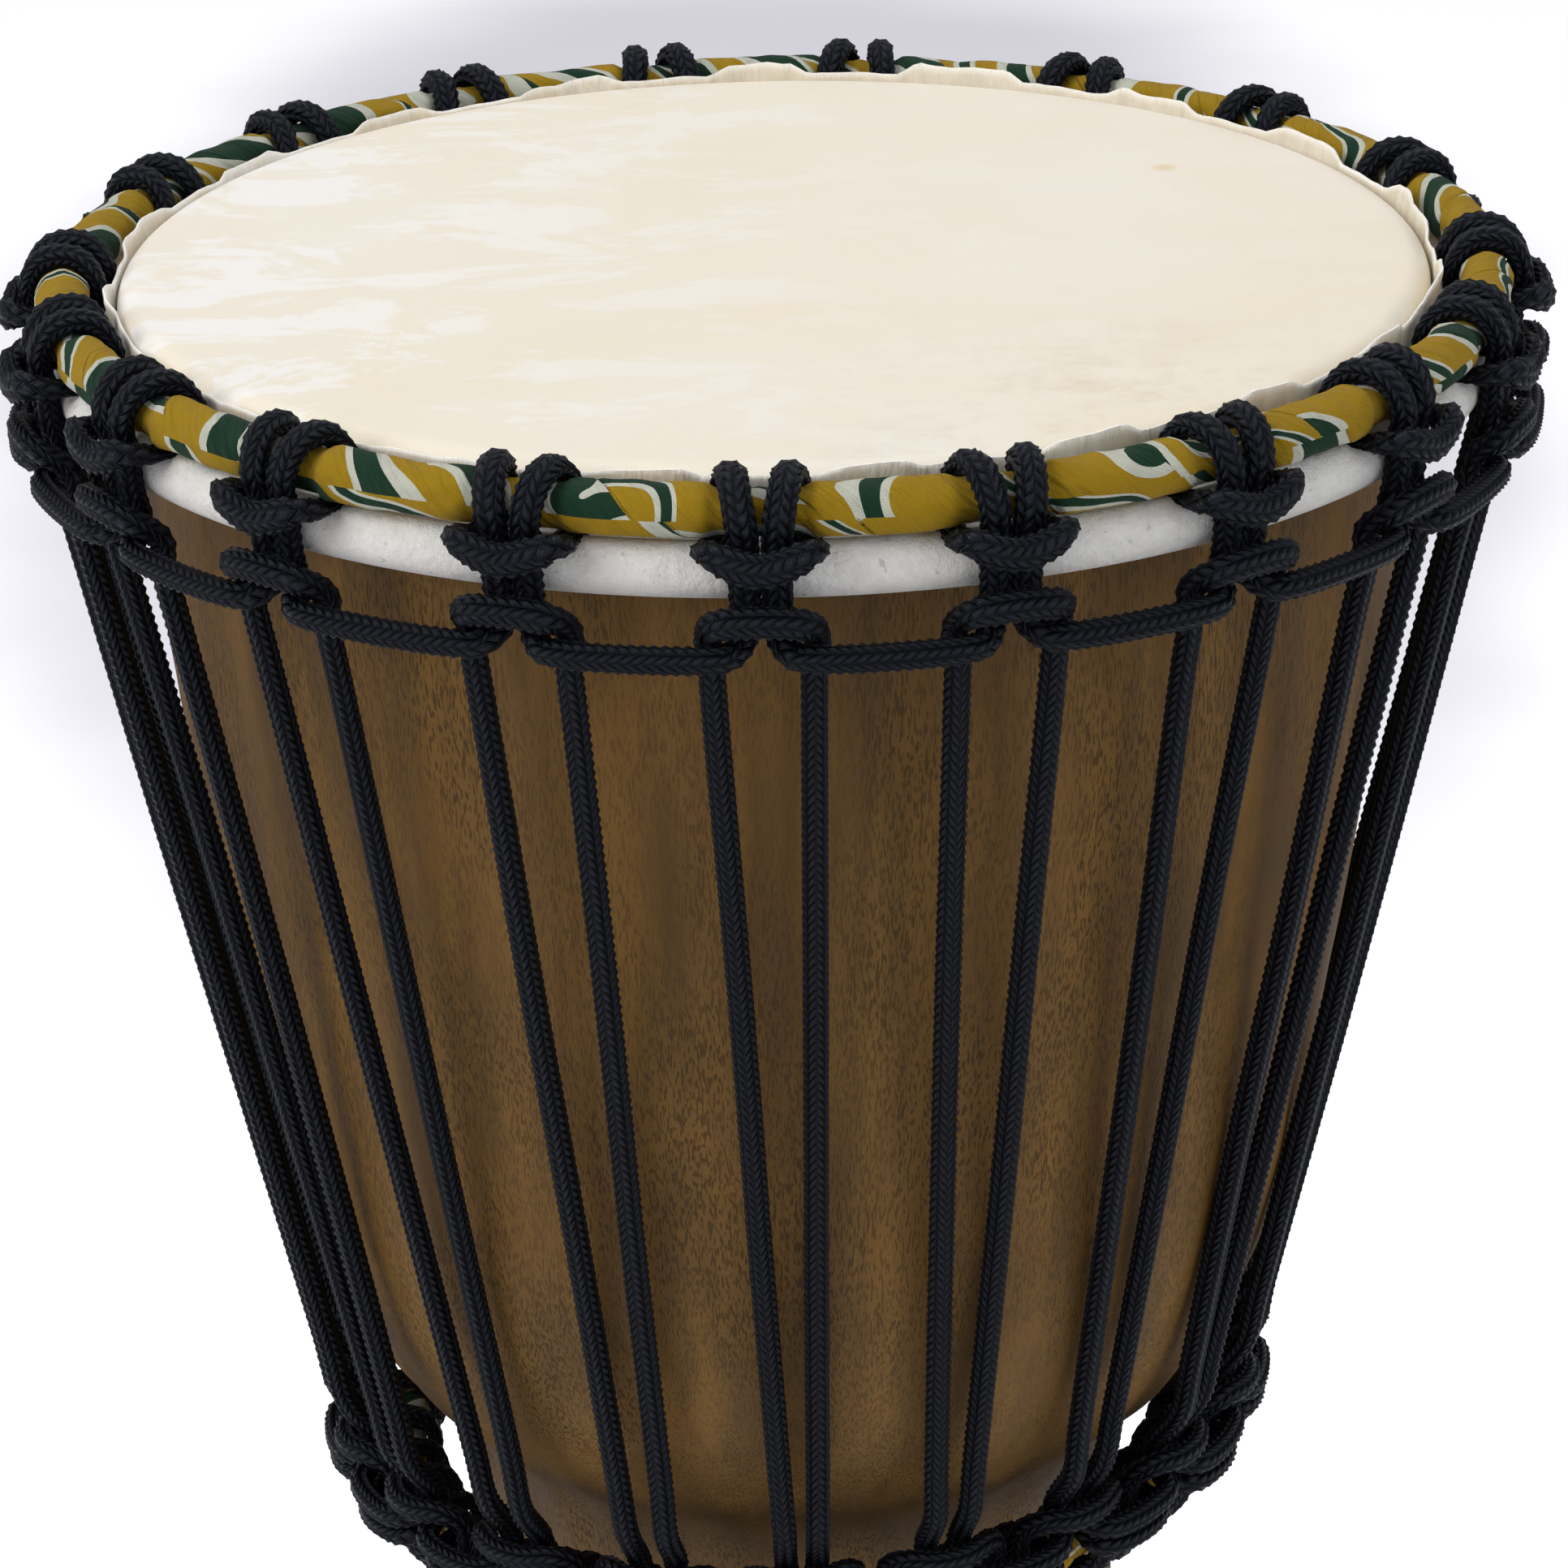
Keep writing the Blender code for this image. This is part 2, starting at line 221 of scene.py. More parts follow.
def wood_finish(settings):
    """Oiled hardwood: long soft streaks, short dark pores and handling smudges."""
    made, nodes, shader = material("Oiled shell wood")
    place = nodes.add("ShaderNodeTexCoord").outputs["Object"]
    wavy = nodes.add("ShaderNodeTexNoise", {
        "Vector": nodes.stretched(place, (1, 1, 0.35)), "Scale": 14.0, "Detail": 2.0,
    })
    bent = nodes.vector("ADD", place, nodes.vector("SCALE", wavy.outputs["Color"], scale=0.012))
    streaks = nodes.noise(nodes.stretched(bent, (1, 1, 0.055)), 95.0, 5.0, 0.6)
    fine = nodes.noise(nodes.stretched(bent, (1, 1, 0.05)), 620.0, 3.0, 0.6)
    pores = nodes.noise(nodes.stretched(bent, (1, 1, 0.15)), 2500.0, 1.0, 0.4)
    pore_mask = nodes.ramp(pores, ((0.0, 1.0), (0.37, 1.0), (0.48, 0.0)))
    thick = nodes.noise(nodes.stretched(place, (1, 1, 0.3)), 60.0, 2.0)
    pore_mask = nodes.math("MULTIPLY", pore_mask, nodes.ramp(thick, ((0.35, 0.25), (0.62, 1.0))))
    smudge = nodes.noise(nodes.stretched(place, (1, 1, 0.6)), 22.0, 4.0, 0.62, 0.6)
    smudge_mask = nodes.ramp(smudge, ((0.50, 0.0), (0.72, 1.0)))
    colour = nodes.mix(nodes.ramp(streaks, ((0.34, 0.0), (0.66, 1.0))),
                       rgb(shade(settings.wood, 0.68)), rgb(shade(settings.wood, 1.38)))
    colour = nodes.mix(nodes.math("MULTIPLY", fine, 0.35), colour,
                       rgb(shade(settings.wood, 0.62)))
    height = nodes.add("ShaderNodeSeparateXYZ", {0: place}).outputs["Z"]
    # lighter towards the waist and stem, by height
    waist = nodes.ramp(nodes.math("DIVIDE", height, HEAD_Z),
                       ((0.30, 1.0), (0.50, 0.75), (0.66, 0.0)))
    colour = nodes.mix(nodes.math("MULTIPLY", waist, 0.32), colour, rgb(settings.waist_tone))
    colour = nodes.mix(nodes.math("MULTIPLY", smudge_mask, 0.55), colour,
                       rgb(shade(settings.wood, 0.45)))
    colour = nodes.mix(nodes.math("MULTIPLY", pore_mask, 0.75), colour,
                       rgb(shade(settings.wood, 0.28)))
    nodes.put(shader.inputs["Base Color"], colour)
    nodes.put(shader.inputs["Roughness"], nodes.ramp(streaks, ((0.2, 0.50), (0.8, 0.66))))
    shader.inputs["Specular IOR Level"].default_value = 0.22
    relief(nodes, shader, (
        (nodes.math("SUBTRACT", 1.0, pore_mask), 0.00025, 0.6),
        (fine, 0.0002, 0.35),
    ))
    return made


def skin_finish(settings):
    """Shaved goatskin: cream with chalky and yellower patches; suede where it is folded; painted
    shade on the lip's face and a painted highlight along its trimmed edge.
    """
    made, nodes, shader = material("Goatskin")
    place = nodes.add("ShaderNodeTexCoord").outputs["Object"]
    suede = nodes.add("ShaderNodeAttribute", attribute_name="suede").outputs["Fac"]
    broad = nodes.noise(place, 11.0, 3.0, 0.55, 0.4)
    turned = nodes.add("ShaderNodeMapping", {
        "Vector": place, "Rotation": (0.0, 0.0, math.radians(12)), "Scale": (1.0, 1.9, 1.0),
    }).outputs[0]
    chalk = nodes.noise(turned, 26.0, 12.0, 0.72, 0.5)
    left = nodes.add("ShaderNodeSeparateXYZ", {0: place}).outputs["X"]
    side = nodes.ramp(nodes.math("MULTIPLY_ADD", left, 4.0, 0.5), ((0.1, 1.0), (0.62, 0.12)))
    chalk_mask = nodes.math("MULTIPLY", nodes.ramp(chalk, ((0.505, 0.0), (0.55, 1.0))), side)
    grain = nodes.noise(place, 900.0, 4.0, 0.6)
    mottle = nodes.noise(place, 160.0, 5.0, 0.6)
    colour = nodes.mix(nodes.ramp(broad, ((0.36, 0.0), (0.68, 1.0))), rgb(settings.skin),
                       rgb(settings.yellow_skin))
    colour = nodes.mix(nodes.math("MULTIPLY", chalk_mask, 0.85), colour, rgb(settings.chalk_skin))
    colour = nodes.mix(nodes.math("MULTIPLY", mottle, 0.10), colour,
                       rgb(shade(settings.yellow_skin, 0.8)))
    from_stain = nodes.vector("DISTANCE", place, STAIN_PLACE)
    near_stain = nodes.ramp(nodes.math("DIVIDE", from_stain, STAIN_REACH), ((0.2, 1.0), (1.0, 0.0)))
    patchy = nodes.ramp(nodes.noise(place, 75.0, 9.0, 0.75), ((0.48, 0.0), (0.75, 1.0)))
    stained = nodes.math("MULTIPLY", near_stain, patchy)
    colour = nodes.mix(nodes.math("MULTIPLY", stained, 0.45), colour, STAIN)
    from_spot = nodes.vector("DISTANCE", place, SPOT_PLACE)
    spot_mask = nodes.ramp(nodes.math("DIVIDE", from_spot, SPOT_REACH), ((0.25, 1.0), (0.8, 0.0)))
    colour = nodes.mix(nodes.math("MULTIPLY", spot_mask, 0.5), colour, SPOT)
    pelt = nodes.noise(place, 300.0, 6.0, 0.75)
    pelt_colour = nodes.mix(nodes.ramp(pelt, ((0.35, 0.0), (0.65, 1.0))),
                            rgb(shade(settings.suede, 0.88)), rgb(settings.suede))
    flecks = nodes.ramp(nodes.noise(place, 420.0, 2.0), ((0.27, 1.0), (0.34, 0.0)))
    pelt_colour = nodes.mix(nodes.math("MULTIPLY", flecks, 0.45), pelt_colour,
                            rgb(shade(settings.suede, 0.35)))
    colour = nodes.mix(suede, colour, pelt_colour)
    lip = nodes.add("ShaderNodeAttribute", attribute_name="lip").outputs["Fac"]
    pleats = nodes.noise(nodes.stretched(place, (1, 1, 0.25)), 330.0, 3.0, 0.6)
    # painted shade: the lip's face below its trimmed edge darker and yellower, most in the pleats'
    # hollows
    below = nodes.math("MULTIPLY", nodes.ramp(lip, ((0.1, 0.0), (0.35, 1.0), (0.9, 0.6))),
                       nodes.ramp(pleats, ((0.35, 0.9), (0.65, 0.25))))
    colour = nodes.mix(below, colour, rgb(shade(settings.yellow_skin, 0.72)))
    # painted highlight along the lip's trimmed edge
    colour = nodes.mix(nodes.ramp(lip, ((0.80, 0.0), (0.97, 0.9))), colour, LIP_EDGE_HIGHLIGHT)
    nodes.put(shader.inputs["Base Color"], colour)
    nodes.put(shader.inputs["Roughness"],
              nodes.math("MULTIPLY_ADD", suede, 0.32, nodes.ramp(mottle, ((0.2, 0.5), (0.8, 0.6)))))
    shader.inputs["Specular IOR Level"].default_value = 0.3
    shader.inputs["Sheen Weight"].default_value = 0.12
    shader.inputs["Sheen Roughness"].default_value = 0.6
    fold_height = nodes.math("MULTIPLY", pelt, suede)
    relief(nodes, shader, (
        (fold_height, 0.0012, 1.0),
        (nodes.math("MULTIPLY", pleats, lip), 0.0016, 0.7),
        (chalk, 0.0002, 0.25),
        (grain, 0.00012, 0.3),
    ))
    return made


def cotton_finish(name, settings):
    """Printed twill: gold and green shapes outlined off-white, shifted at each wound turn, with
    painted shade between the threads.
    """
    made, nodes, shader = material(name)
    uv = nodes.add("ShaderNodeUVMap", uv_map="wrap_map").outputs[0]
    along = nodes.add("ShaderNodeSeparateXYZ", {0: uv})
    slant = nodes.math("MULTIPLY_ADD", along.outputs["Y"], STRIP_LEAN, along.outputs["X"])
    wound = nodes.math("DIVIDE", slant, STRIP_WIDTH * MM)
    turn = nodes.math("FLOOR", wound)
    jump = nodes.add("ShaderNodeTexWhiteNoise", {"W": turn}, noise_dimensions="1D")
    shifted = nodes.vector("ADD", uv, nodes.vector("SCALE", jump.outputs["Color"], scale=0.37))
    warp = nodes.add("ShaderNodeTexNoise", {"Vector": shifted, "Scale": 34.0, "Detail": 0.6})
    bent = nodes.vector("ADD", shifted,
                        nodes.vector("SCALE", warp.outputs["Color"], scale=0.060))
    flow = nodes.add("ShaderNodeSeparateXYZ", {0: bent})
    phase = nodes.math("MULTIPLY_ADD", flow.outputs["Y"], 0.9, flow.outputs["X"])
    phase = nodes.math("FRACT", nodes.math("DIVIDE", phase, PRINT_REPEAT * MM))
    gold, green, white = settings.gold, settings.green, settings.off_white
    colour = nodes.ramp(phase, (
        (0.0, tuple(gold)), (0.34, tuple(white)), (0.41, tuple(green)), (0.62, tuple(white)),
        (0.70, tuple(gold)), (0.86, tuple(white)), (0.90, tuple(green)), (0.97, tuple(white)),
    ), "CONSTANT")
    tired = nodes.noise(uv, 240.0, 4.0)
    colour = nodes.mix(nodes.math("MULTIPLY", tired, 0.22), colour, TIRED_PRINT)
    twill = nodes.math("SINE", nodes.math(
        "MULTIPLY", nodes.math("MULTIPLY_ADD", along.outputs["Y"], 1.7, along.outputs["X"]),
        2 * math.pi / (TWILL_PITCH * MM)))
    cross = nodes.math("SINE", nodes.math(
        "MULTIPLY", nodes.math("MULTIPLY_ADD", along.outputs["X"], -0.7, along.outputs["Y"]),
        2 * math.pi / (CROSS_PITCH * MM)))
    weave = nodes.math("MULTIPLY_ADD", nodes.math("MULTIPLY", twill, cross), 0.25,
                       nodes.math("MULTIPLY_ADD", twill, 0.25, 0.5))
    # painted shade where the weave's relief is low, between the threads
    colour = nodes.mix(nodes.math("MULTIPLY", nodes.math("SUBTRACT", 1.0, weave), 0.38), colour,
                       WEAVE_HOLLOW_SHADE)
    fold = nodes.ramp(nodes.math("FRACT", wound),
                      ((0.0, 0.0), (0.02, 1.0), (0.93, 0.75), (1.0, 0.55)))
    pulled = nodes.add("ShaderNodeCombineXYZ", {
        "X": slant, "Y": nodes.math("MULTIPLY", along.outputs["Y"], 0.3), "Z": turn})
    crease = nodes.noise(pulled, 170.0, 3.0, 0.55)
    nodes.put(shader.inputs["Base Color"], colour)
    shader.inputs["Roughness"].default_value = 0.88
    shader.inputs["Specular IOR Level"].default_value = 0.12
    shader.inputs["Sheen Weight"].default_value = 0.05
    relief(nodes, shader, (
        (fold, 0.0006, 0.8),
        (crease, 0.0034, 0.9),
        (weave, 0.00018, 0.8),
    ))
    return made


def rope_finish(settings):
    """Near-black braided polyester: fine filaments in each strand and a soft sheen; painted shade
    in the grooves, painted highlights on the crests, dust and a painted sheen on the raised floats.
    """
    made, nodes, shader = material("Black braided rope")
    spot = nodes.add("ShaderNodeAttribute", attribute_name="braid_map").outputs["Vector"]
    crest = nodes.add("ShaderNodeAttribute", attribute_name="crest").outputs["Fac"]
    split = nodes.add("ShaderNodeSeparateXYZ", {0: spot})
    wale = nodes.math("FLOOR", split.outputs["Y"])
    half = nodes.math("MULTIPLY", nodes.math("MODULO", wale, 2.0), 0.5)
    along = nodes.math("FRACT", nodes.math("ADD", split.outputs["X"], half))
    across = nodes.math("SUBTRACT", split.outputs["Y"], wale)
    lengthwise = nodes.math("SINE", nodes.math("MULTIPLY", along, math.pi))
    crosswise = nodes.math("SINE", nodes.math("MULTIPLY", across, math.pi))
    pillow = nodes.math("POWER", nodes.math("MULTIPLY", lengthwise, crosswise), 0.6)
    threads = nodes.math("SINE", nodes.math("MULTIPLY", split.outputs["X"], 2 * math.pi * 6))
    place = nodes.add("ShaderNodeTexCoord").outputs["Object"]
    patch = nodes.noise(place, 700.0, 3.0)
    dust_and_sheen = nodes.noise(place, 60.0, 5.0, 0.6)
    # painted shade in the grooves between the strand floats and painted highlights on their crests,
    # brighter in random patches
    colour = nodes.mix(nodes.ramp(pillow, ((0.42, 0.0), (0.88, 1.0))),
                       rgb(shade(settings.rope, 0.1)), rgb(shade(settings.rope, 2.8)))
    colour = nodes.mix(nodes.math("MULTIPLY", nodes.math("MULTIPLY", patch, pillow), 0.6), colour,
                       rgb(shade(settings.rope, 3.0)))
    # dust and a painted sheen on the crests of the raised floats
    colour = nodes.mix(nodes.math("MULTIPLY", nodes.ramp(dust_and_sheen, ((0.55, 0.0), (0.8, 0.5))), crest),
                       colour, rgb(shade(settings.rope, 5.0)))
    nodes.put(shader.inputs["Base Color"], colour)
    nodes.put(shader.inputs["Roughness"], nodes.math("MULTIPLY_ADD", patch, 0.22, 0.30))
    shader.inputs["Specular IOR Level"].default_value = 0.22
    shader.inputs["Specular Tint"].default_value = (0.70, 0.80, 1.0, 1.0)
    relief(nodes, shader, (
        (pillow, 0.0009, 1.0),
        (threads, 0.00007, 0.5),
    ))
    return made


def steel_finish():
    """Plain round steel rod, lightly brushed along its length."""
    made, nodes, shader = material("Steel ring rod")
    place = nodes.add("ShaderNodeTexCoord").outputs["Object"]
    brushed = nodes.noise(nodes.stretched(place, (1, 1, 9)), 260.0, 5.0, 0.7)
    dull = nodes.noise(place, 45.0, 4.0)
    nodes.put(shader.inputs["Base Color"],
              nodes.mix(dull, (0.32, 0.31, 0.31, 1.0), (0.5, 0.5, 0.51, 1.0)))
    nodes.put(shader.inputs["Roughness"], nodes.ramp(brushed, ((0.3, 0.3), (0.7, 0.5))))
    shader.inputs["Metallic"].default_value = 1.0
    relief(nodes, shader, ((brushed, 0.0001, 0.3),))
    return made


def paper_finish(settings):
    """Seamless pale studio paper, with a painted grey shadow behind the drum and a painted glow
    that only the camera sees.
    """
    made, nodes, shader = material("Studio paper")
    place = nodes.add("ShaderNodeTexCoord").outputs["Object"]
    # painted shadow: greyer paper in a soft, noisy ellipse behind the drum
    apart = nodes.vector("MULTIPLY", nodes.vector("SUBTRACT", place, PAINTED_SHADOW_CENTRE),
                         (1 / PAINTED_SHADOW_HALF[0], 1 / PAINTED_SHADOW_HALF[1], 1.0))
    away = nodes.math("MULTIPLY_ADD", nodes.noise(place, 3.0, 2.0), 0.30,
                      nodes.vector("LENGTH", apart))
    away = nodes.math("SUBTRACT", away, 0.05)
    tone = nodes.mix(nodes.ramp(away, ((0.70, 0.0), (1.05, 1.0)), "EASE"),
                     rgb(settings.painted_shadow), rgb(settings.paper))
    nodes.put(shader.inputs["Base Color"], tone)
    # painted light: the paper glows for camera rays only, less inside the painted shadow
    seen = nodes.add("ShaderNodeLightPath").outputs["Is Camera Ray"]
    glow = nodes.ramp(away, ((0.70, PAINTED_GLOW_IN_SHADOW), (1.05, PAINTED_GLOW_ON_PAPER)), "EASE")
    glow = nodes.math("MULTIPLY", seen, glow)
    shader.inputs["Emission Color"].default_value = (0.97, 0.97, 1.0, 1.0)
    nodes.put(shader.inputs["Emission Strength"], glow)
    shader.inputs["Roughness"].default_value = 0.9
    return made


# Meshes

def solid(name, points, inside_out=False):
    """A smooth closed mesh from a (turns, outline, xyz) grid that wraps both ways, in metres."""
    turns, outline = points.shape[:2]
    number = np.arange(turns * outline).reshape(turns, outline)
    after = np.roll(number, -1, axis=0)
    faces = np.stack([number, after, np.roll(after, -1, axis=1), np.roll(number, -1, axis=1)], -1)
    faces = faces.reshape(-1, 4)
    flat = points.reshape(-1, 3)
    corners = flat[faces]
    volume = np.einsum("ij,ij->", corners[:, 0], np.cross(corners[:, 1], corners[:, 2]))
    volume += np.einsum("ij,ij->", corners[:, 0], np.cross(corners[:, 2], corners[:, 3]))
    if (volume < 0) != inside_out:
        faces = faces[:, ::-1]
    mesh = bpy.data.meshes.new(name)
    mesh.from_pydata(flat.tolist(), [], faces.tolist())
    return mesh


def linked(name, mesh, finish, edge_angle=60):
    """An object of a mesh in the scene, smooth shaded, with its finish."""
    mesh.materials.clear()
    mesh.materials.append(finish)
    mesh.shade_smooth()
    mesh.set_sharp_from_angle(angle=math.radians(edge_angle))
    made = bpy.data.objects.new(name, mesh)
    bpy.context.collection.objects.link(made)
    return made


def weld(mesh):
    """Merge the points that meet at a pole, and drop the bare edge between two poles."""
    builder = bmesh.new()
    builder.from_mesh(mesh)
    bmesh.ops.remove_doubles(builder, verts=builder.verts, dist=0.001 * MM)
    bare = [edge for edge in builder.edges if not edge.link_faces]
    bmesh.ops.delete(builder, geom=bare, context="EDGES")
    builder.to_mesh(mesh)
    builder.free()


def catmull(points, closed, step):
    """Rows on a centripetal curve through rows of numbers whose first columns are a place."""
    points = np.asarray(points, float)
    count = len(points)
    size = 3 if points.shape[1] > 3 else 2
    rows = []
    for index in range(count if closed else count - 1):
        if closed:
            knots = [points[(index + shift) % count] for shift in (-1, 0, 1, 2)]
        else:
            first = points[index - 1] if index else 2 * points[0] - points[1]
            last = points[index + 2] if index + 2 < count else 2 * points[-1] - points[-2]
            knots = [first, points[index], points[index + 1], last]
        a, b, c, d = (knot[:size] for knot in knots)
        t = np.cumsum([0] + [max(np.linalg.norm(q - p), 1e-6) ** 0.5
                             for p, q in ((a, b), (b, c), (c, d))])
        steps = max(1, math.ceil(np.linalg.norm(c - b) / step))
        for part in np.arange(steps) / steps:
            s = t[1] + (t[2] - t[1]) * part
            ab = a + (b - a) * (s - t[0]) / (t[1] - t[0])
            bc = b + (c - b) * part
            cd = c + (d - c) * (s - t[2]) / (t[3] - t[2])
            abc = ab + (bc - ab) * (s - t[0]) / (t[2] - t[0])
            bcd = bc + (cd - bc) * (s - t[1]) / (t[3] - t[1])
            place = abc + (bcd - abc) * part
            ease = part * part * (3 - 2 * part)
            rest = knots[1][size:] * (1 - ease) + knots[2][size:] * ease
            rows.append(np.concatenate([place, rest]))
    if not closed:
        rows.append(points[-1])
    return np.array(rows)


def arc(centre, radius, start, end, steps):
    """Points on a round, from one angle to another in degrees."""
    angles = np.radians(np.linspace(start, end, steps + 1))
    return [(centre[0] + radius * math.cos(a), centre[1] + radius * math.sin(a)) for a in angles]


def even_turns(count):
    """Evenly spaced angles once round."""
    return 2 * math.pi * np.arange(count) / count


def in_place(radius, height, angles, base_z, tilt=0.0):
    """Metres in the drum's frame from millimetre radii and heights above a ring's centre."""
    x = radius * np.cos(angles)[:, None] * MM
    y = radius * np.sin(angles)[:, None] * MM
    return np.stack([x, y, base_z + height * MM + tilt * x], -1)


def rough(angles, radius, heights, scale, seed, stretch=1.0):
    """Smooth random values on a turned surface, one for each turn and height, about -1 to 1."""
    values = np.empty((len(angles), len(heights)))
    for i, angle in enumerate(angles):
        x, y = radius * math.cos(angle) / scale, radius * math.sin(angle) / scale
        for j, height in enumerate(heights):
            values[i, j] = noise.noise(Vector((x + seed, y, height / scale / stretch)))
    return values


# The lacing, in millimetres and degrees: (along, radius, height, press, spread, facing)

def crown_angle(knot):
    """Where a crown hitch stands round the drum."""
    return FRONT + knot * 360 / KNOTS + DRIFT[knot % KNOTS]


def cradle_angle(knot):
    """Where the cradle hitch between a crown hitch and the next one stands."""
    return (crown_angle(knot) + crown_angle(knot + 1)) / 2 + TWIST


def wrapped(ring_radius, steps):
    """Rope laid round a ring's cloth. A step is (facing, along, reach from the rod, press)."""
    points = []
    for facing, along, reach, press in steps:
        angle = math.radians(facing)
        points.append((along, ring_radius + reach * math.cos(angle), reach * math.sin(angle),
                       press, WRAP_SPREAD, facing))
    return points


def crown_hitch_half():
    """From the run beside a crown hitch to the middle of its collar, on the -along side."""
    leg = [
        (-9.2, 145.2, -23.2, 1.0, 1.0, 0),
        (-5.2, 143.6, -23.0, 1.0, 1.0, 0),
        (-2.9, 140.3, -20.0, 0.92, 1.1, 0),
        (-2.75, 141.6, -13.0, 0.92, 1.14, 0),
        (-2.75, 141.9, -5.8, 0.8, 1.14, 0),
    ]
    wrap = wrapped(CROWN_RADIUS, [
        (5, -3.2, 7.0, 0.90),
        (60, -4.3, 6.6, 0.96),
        (115, -5.4, 6.5, 0.90),
        (172, -6.8, 6.6, 0.70),
    ])
    nip = [
        (-8.0, 130.3, -5.2, 0.38, 1.12, 235),
        (-8.4, 139.0, -5.3, 0.55, 1.1, 290),
        (-8.9, 142.8, -4.6, 0.85, 1.15, 320),
        (-7.3, 146.5, -4.3, 0.92, 1.22, 345),
    ]
    return leg + wrap + nip


def cradle_hitch_half():
    """The same hitch on the cradle ring, with its run above it."""
    leg = [
        (-11.6, 97.4, 15.6, 1.0, 1.0, 0),
        (-6.4, 94.8, 15.6, 1.0, 1.0, 0),
        (-3.4, 91.4, 12.8, 0.96, 1.0, 0),
    ]
    wrap = wrapped(CRADLE_RADIUS, [
        (-5, -2.9, 7.1, 0.92),
        (-60, -4.4, 6.7, 0.92),
        (-115, -5.8, 6.6, 0.84),
        (-172, -7.0, 6.6, 0.70),
        (-228, -7.8, 7.2, 0.66),
    ])
    nip = [
        (-8.6, 86.4, 7.3, 0.76, 1.08, -285),
        (-8.9, 94.6, 4.6, 0.96, 1.0, -350),
    ]
    return leg + wrap + nip


def crown_turn_half():
    """The tuning rope from behind a crown run to the bar over the hitch's two legs."""
    return [
        (-8.9, 139.7, -26.6, 0.96, 0.96, 0),
        (-9.4, 140.2, -21.0, 0.96, 0.96, 0),
        (-6.6, 145.9, -16.6, 0.96, 1.15, 0),
    ]


def cradle_turn_half():
    """The tuning rope from above a cradle run, behind it, to the bar over the two legs."""
    return [
        (-11.2, 98.2, 27.0, 0.96, 0.96, 0),
        (-11.2, 91.8, 16.2, 0.96, 0.96, 0),
        (-11.8, 92.9, 11.0, 0.96, 0.96, 0),
        (-8.4, 97.0, 9.4, 0.96, 0.96, 0),
    ]


def tail_half():
    """A cut end of the tuning rope: behind the run and down over the cradle ring's cloth."""
    return [
        (-11.2, 98.2, 27.0, 0.96, 0.96, 0),
        (-11.4, 91.8, 15.8, 0.96, 0.96, 0),
        (-14.4, 92.2, 8.0, 0.96, 0.96, 0),
        (-14.8, 92.0, 0.0, 0.96, 0.96, 0),
        (-14.8, 91.6, -26.0, 0.96, 0.96, 0),
    ]


def mirrored(route):
    """The same stretch on the +along side, travelled the other way."""
    return [(-point[0], *point[1:]) for point in reversed(route)]


def placed(route, angle, ring_z, lacing_radius, tilt):
    """Route rows in the drum's frame: place, facing direction, half thickness, half width."""
    rows = []
    for along, radius, height, press, spread, facing in route:
        turn = math.radians(angle) + along / lacing_radius
        out_x, out_y = math.cos(turn), math.sin(turn)
        x = out_x * radius * MM
        z = ring_z + height * MM + tilt * x
        level, rise = math.cos(math.radians(facing)), math.sin(math.radians(facing))
        rows.append((x, out_y * radius * MM, z, out_x * level, out_y * level, rise,
                     press * ROPE_RADIUS * MM, spread * ROPE_RADIUS * MM))
    return rows


def on_crown(route, knot):
    """A stretch of rope at one crown hitch."""
    return placed(route, crown_angle(knot), CROWN_Z, CROWN_LACING, 0.0)


def on_cradle(route, knot):
    """A stretch of rope at the cradle hitch between a crown hitch and the next one."""
    return placed(route, cradle_angle(knot), CRADLE_Z, CRADLE_LACING, CRADLE_TILT)


def hitch_route(half, middle, place):
    """The closed route of a rope that makes one cow hitch at each knot, from the back."""
    rows = []
    for step in range(KNOTS):
        rows += place(half + [middle] + mirrored(half), KNOTS // 2 + step)
    return rows


def tuning_routes(stretches):
    """The long lace in stretches that meet behind the crown's runs, each an open route."""
    last = KNOTS // 2
    rows = on_cradle(mirrored(tail_half()), last)
    joints = []
    for step in range(KNOTS):
        knot = last + 1 + step
        turn = on_crown(crown_turn_half() + mirrored(crown_turn_half()), knot)
        if step and step % math.ceil(KNOTS / stretches) == 0:
            joints.append(len(rows) + 1)
        rows += turn
        if step < KNOTS - 1:
            rows += on_cradle(cradle_turn_half() + mirrored(cradle_turn_half()), knot)
    rows += on_cradle(tail_half(), last)
    ends = [0] + joints + [len(rows) - 1]
    return [rows[start:end + 1] for start, end in zip(ends, ends[1:])]


def with_spans(rows, slack, seed):
    """Add points to the long straight spans, so that they stay straight and sag a little."""
    rng = np.random.default_rng(seed)
    rows = [np.asarray(row, float) for row in rows]
    made = [rows[0]]
    for before, after in zip(rows, rows[1:]):
        length = np.linalg.norm(after[:3] - before[:3])
        if length > LONG_SPAN * MM:
            for part in (0.06, 0.35, 0.65, 0.94):
                row = before + (after - before) * part
                bow = 4 * part * (1 - part) * slack
                row[:3] += rng.uniform(-bow, bow, 3) * (1, 1, 0)
                made.append(row)
        made.append(after)
    return made


# The braid's node tree

